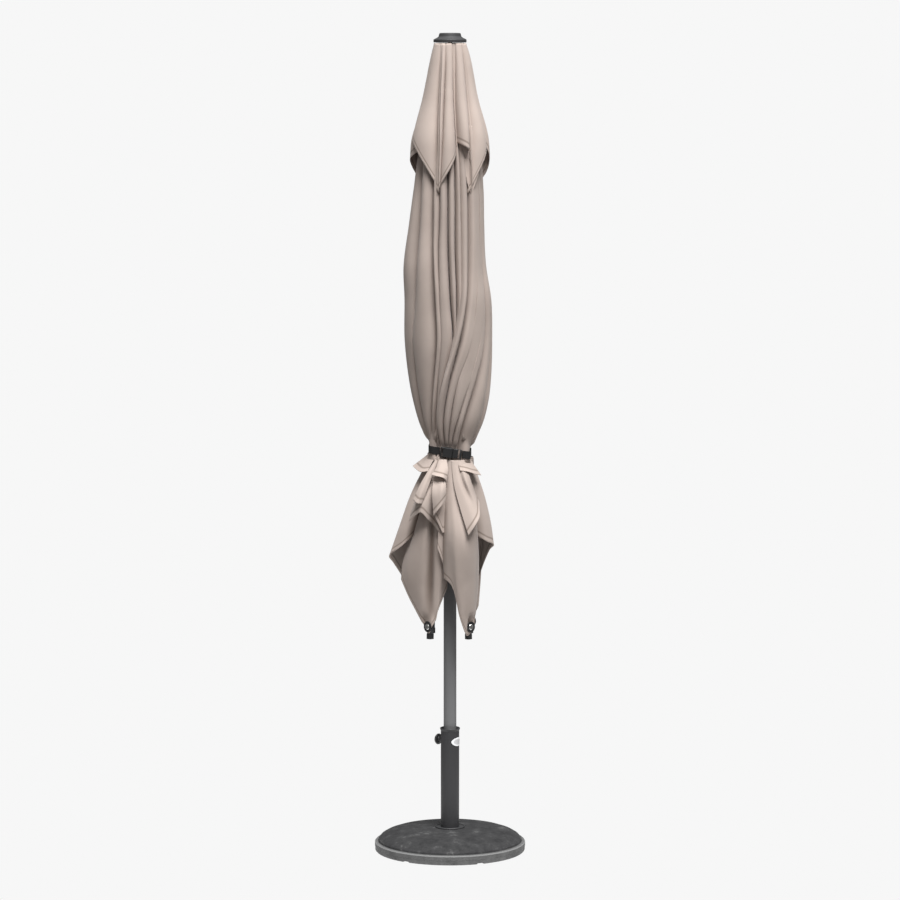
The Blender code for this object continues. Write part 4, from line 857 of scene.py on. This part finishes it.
def plate_material():
    """A white oval border round a plain grey field."""
    mat, nodes, links, shader = material("plate_look", PLATE_BORDER, 0.4)
    geo = nodes.new("ShaderNodeTexCoord").outputs["Object"]
    move = nodes.new("ShaderNodeMapping")
    move.vector_type = "TEXTURE"
    move.inputs["Location"].default_value = (0, 0, PLATE_Z)
    move.inputs["Rotation"].default_value = (0, 0, math.radians(PLATE_AZIMUTH_DEG))
    move.inputs["Scale"].default_value = (1000.0, *PLATE_HALF)  # flattened along the plate's depth
    links.new(geo, move.inputs["Vector"])
    size = nodes.new("ShaderNodeVectorMath")
    size.operation = "LENGTH"
    links.new(move.outputs["Vector"], size.inputs[0])
    field = ((0.0, (.46, .46, .47)), (0.66, (.52, .52, .53)), (0.72, PLATE_BORDER))
    links.new(ramp(nodes, links, size.outputs["Value"], field), shader.inputs["Base Color"])
    return mat


def paint_material(name, base, rough):
    """Paint, plastic, metal or webbing with a fine grain."""
    mat, nodes, links, shader = material(name, base, rough)
    geo = nodes.new("ShaderNodeTexCoord").outputs["Object"]
    grain = noise(nodes, links, 500.0, 2.0, 0.5, geo)
    bump(nodes, links, shader, grain, 0.12, 0.0006)
    return mat


def dress_cad(frame):
    """Gives every CAD piece the look of its material slot, and returns the looks."""
    looks = {
        "concrete": concrete_material(),
        "socket_paint": paint_material("socket_look", (.026, .026, .028), 0.55),
        "pole_paint": paint_material("pole_look", (.140, .141, .143), 0.5),
        "rib_paint": paint_material("rib_look", (.055, .055, .058), 0.5),
        "black_plastic": paint_material("black_plastic_look", (.020, .020, .021), 0.45),
        "cap_plastic": paint_material("cap_look", (.052, .052, .054), 0.5),
        "bright_steel": paint_material("steel_look", (.62, .62, .60), 0.3),
        "plate_white": plate_material(),
        "canopy_fabric": fabric_material("canopy_fabric_look", CANOPY_LEVEL),
        # The vent flap's copy of the cloth is painted lighter, standing in for the light on its upward-facing
        # folds.
        "vent_fabric": fabric_material("vent_fabric_painted_light_look", VENT_PAINTED_LIGHT_LEVEL),
        "strap_webbing": paint_material("webbing_look", (.012, .012, .013), 0.8),
    }
    looks["bright_steel"].node_tree.nodes["Principled BSDF"].inputs["Metallic"].default_value = 1.0
    slots = {s["node"]: s["material_slot"] for s in frame["record"]["subparts"]}
    for name, thing in frame["nodes"].items():
        thing.data.materials.clear()
        thing.data.materials.append(looks[slots[name]])
    return looks


# ---------------------------------------------------------------- pieces
def build_canopy(looks):
    """The four quarters of the canopy and of its vent flap, each bent from the pole to its rib."""
    for k in (1, 2, 3, 4):
        skirts = [placed(hung_patch(c)) for c in SKIRTS[k]]
        main = grid_mesh(f"canopy_cloth_{k}", [placed(main_patch(k)), placed(inner_patch(k))] + skirts)
        flaps = [placed(hung_patch(c, 40, 40)) for c in VENT_FLAPS[k]]
        vent = grid_mesh(f"vent_cloth_{k}", [placed(vent_patch(k))] + flaps)
        for thing, node, look in (
            (main, f"canopy_quarter_{k}", "canopy_fabric"),
            (vent, f"vent_quarter_{k}", "vent_fabric"),
        ):
            thing.data.materials.append(looks[look])
            thicken(thing)
            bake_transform(thing)
            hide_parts(node)


# ---------------------------------------------------------------- stage
def build_stage():
    """A floor that shows as the white backdrop and throws light up onto the lower parts."""
    h = FLOOR_HALF
    mesh = bpy.data.meshes.new("floor")
    mesh.from_pydata([(-h, -h, 0), (h, -h, 0), (h, h, 0), (-h, h, 0)], [], [(0, 1, 2, 3)])
    floor = bpy.data.objects.new("floor", mesh)
    bpy.context.collection.objects.link(floor)
    mat, nodes, links, shader = material("floor_look", (0, 0, 0), 1.0)
    shader.inputs["Specular IOR Level"].default_value = 0.0
    shader.inputs["Emission Color"].default_value = (1, 1, 1, 1)
    # The white sweep round the base throws most of the light.
    away = nodes.new("ShaderNodeVectorMath")
    away.operation = "LENGTH"
    links.new(nodes.new("ShaderNodeNewGeometry").outputs["Position"], away.inputs[0])
    bounce = mapped(nodes, links, away.outputs["Value"], *FLOOR_BOUNCE_RADII, *FLOOR_BOUNCE)
    seen = nodes.new("ShaderNodeLightPath").outputs["Is Camera Ray"]
    glow = mapped(nodes, links, seen, 0.0, 1.0, 0.0, BACKDROP)
    links.new(bounce.outputs["Result"], glow.inputs["To Min"])
    links.new(glow.outputs["Result"], shader.inputs["Emission Strength"])
    floor.data.materials.append(mat)


def build_light():
    """An even sky and one soft sun from high in front, a little to the right."""
    world = bpy.data.worlds.new("world")
    bpy.context.scene.world = world
    world.use_nodes = True
    nodes, links = world.node_tree.nodes, world.node_tree.links
    seen = nodes.new("ShaderNodeLightPath").outputs["Is Camera Ray"]
    level = mapped(nodes, links, seen, 0.0, 1.0, SKY, BACKDROP)
    nodes["Background"].inputs["Color"].default_value = (1, 1, 1, 1)
    links.new(level.outputs["Result"], nodes["Background"].inputs["Strength"])
    data = bpy.data.lights.new("key", "SUN")
    data.energy = KEY
    data.angle = math.radians(KEY_SPREAD_DEG)
    key = bpy.data.objects.new("key", data)
    key.rotation_euler = (math.radians(90.0 - KEY_HEIGHT_DEG), 0, math.radians(KEY_TURN_DEG))
    bpy.context.collection.objects.link(key)


def build_camera():
    """The camera, square to the front of the bundle and a little above it."""
    data = bpy.data.cameras.new("camera")
    data.sensor_width = CAMERA_SENSOR
    data.lens = CAMERA_LENS
    data.dof.use_dof = False
    camera = bpy.data.objects.new("camera", data)
    aim = Vector((0, 0, CAMERA_AIM_HEIGHT))
    aside = CAMERA_DISTANCE * math.sin(FRONT_TURN)
    camera.location = (aside, -CAMERA_DISTANCE * math.cos(FRONT_TURN), CAMERA_HEIGHT)
    camera.rotation_euler = (aim - camera.location).to_track_quat("-Z", "Y").to_euler()
    bpy.context.collection.objects.link(camera)
    bpy.context.scene.camera = camera
    bpy.context.scene.view_settings.view_transform = "Standard"


def main():
    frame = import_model()
    build_canopy(dress_cad(frame))
    build_stage()
    build_light()
    build_camera()
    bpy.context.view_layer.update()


main()
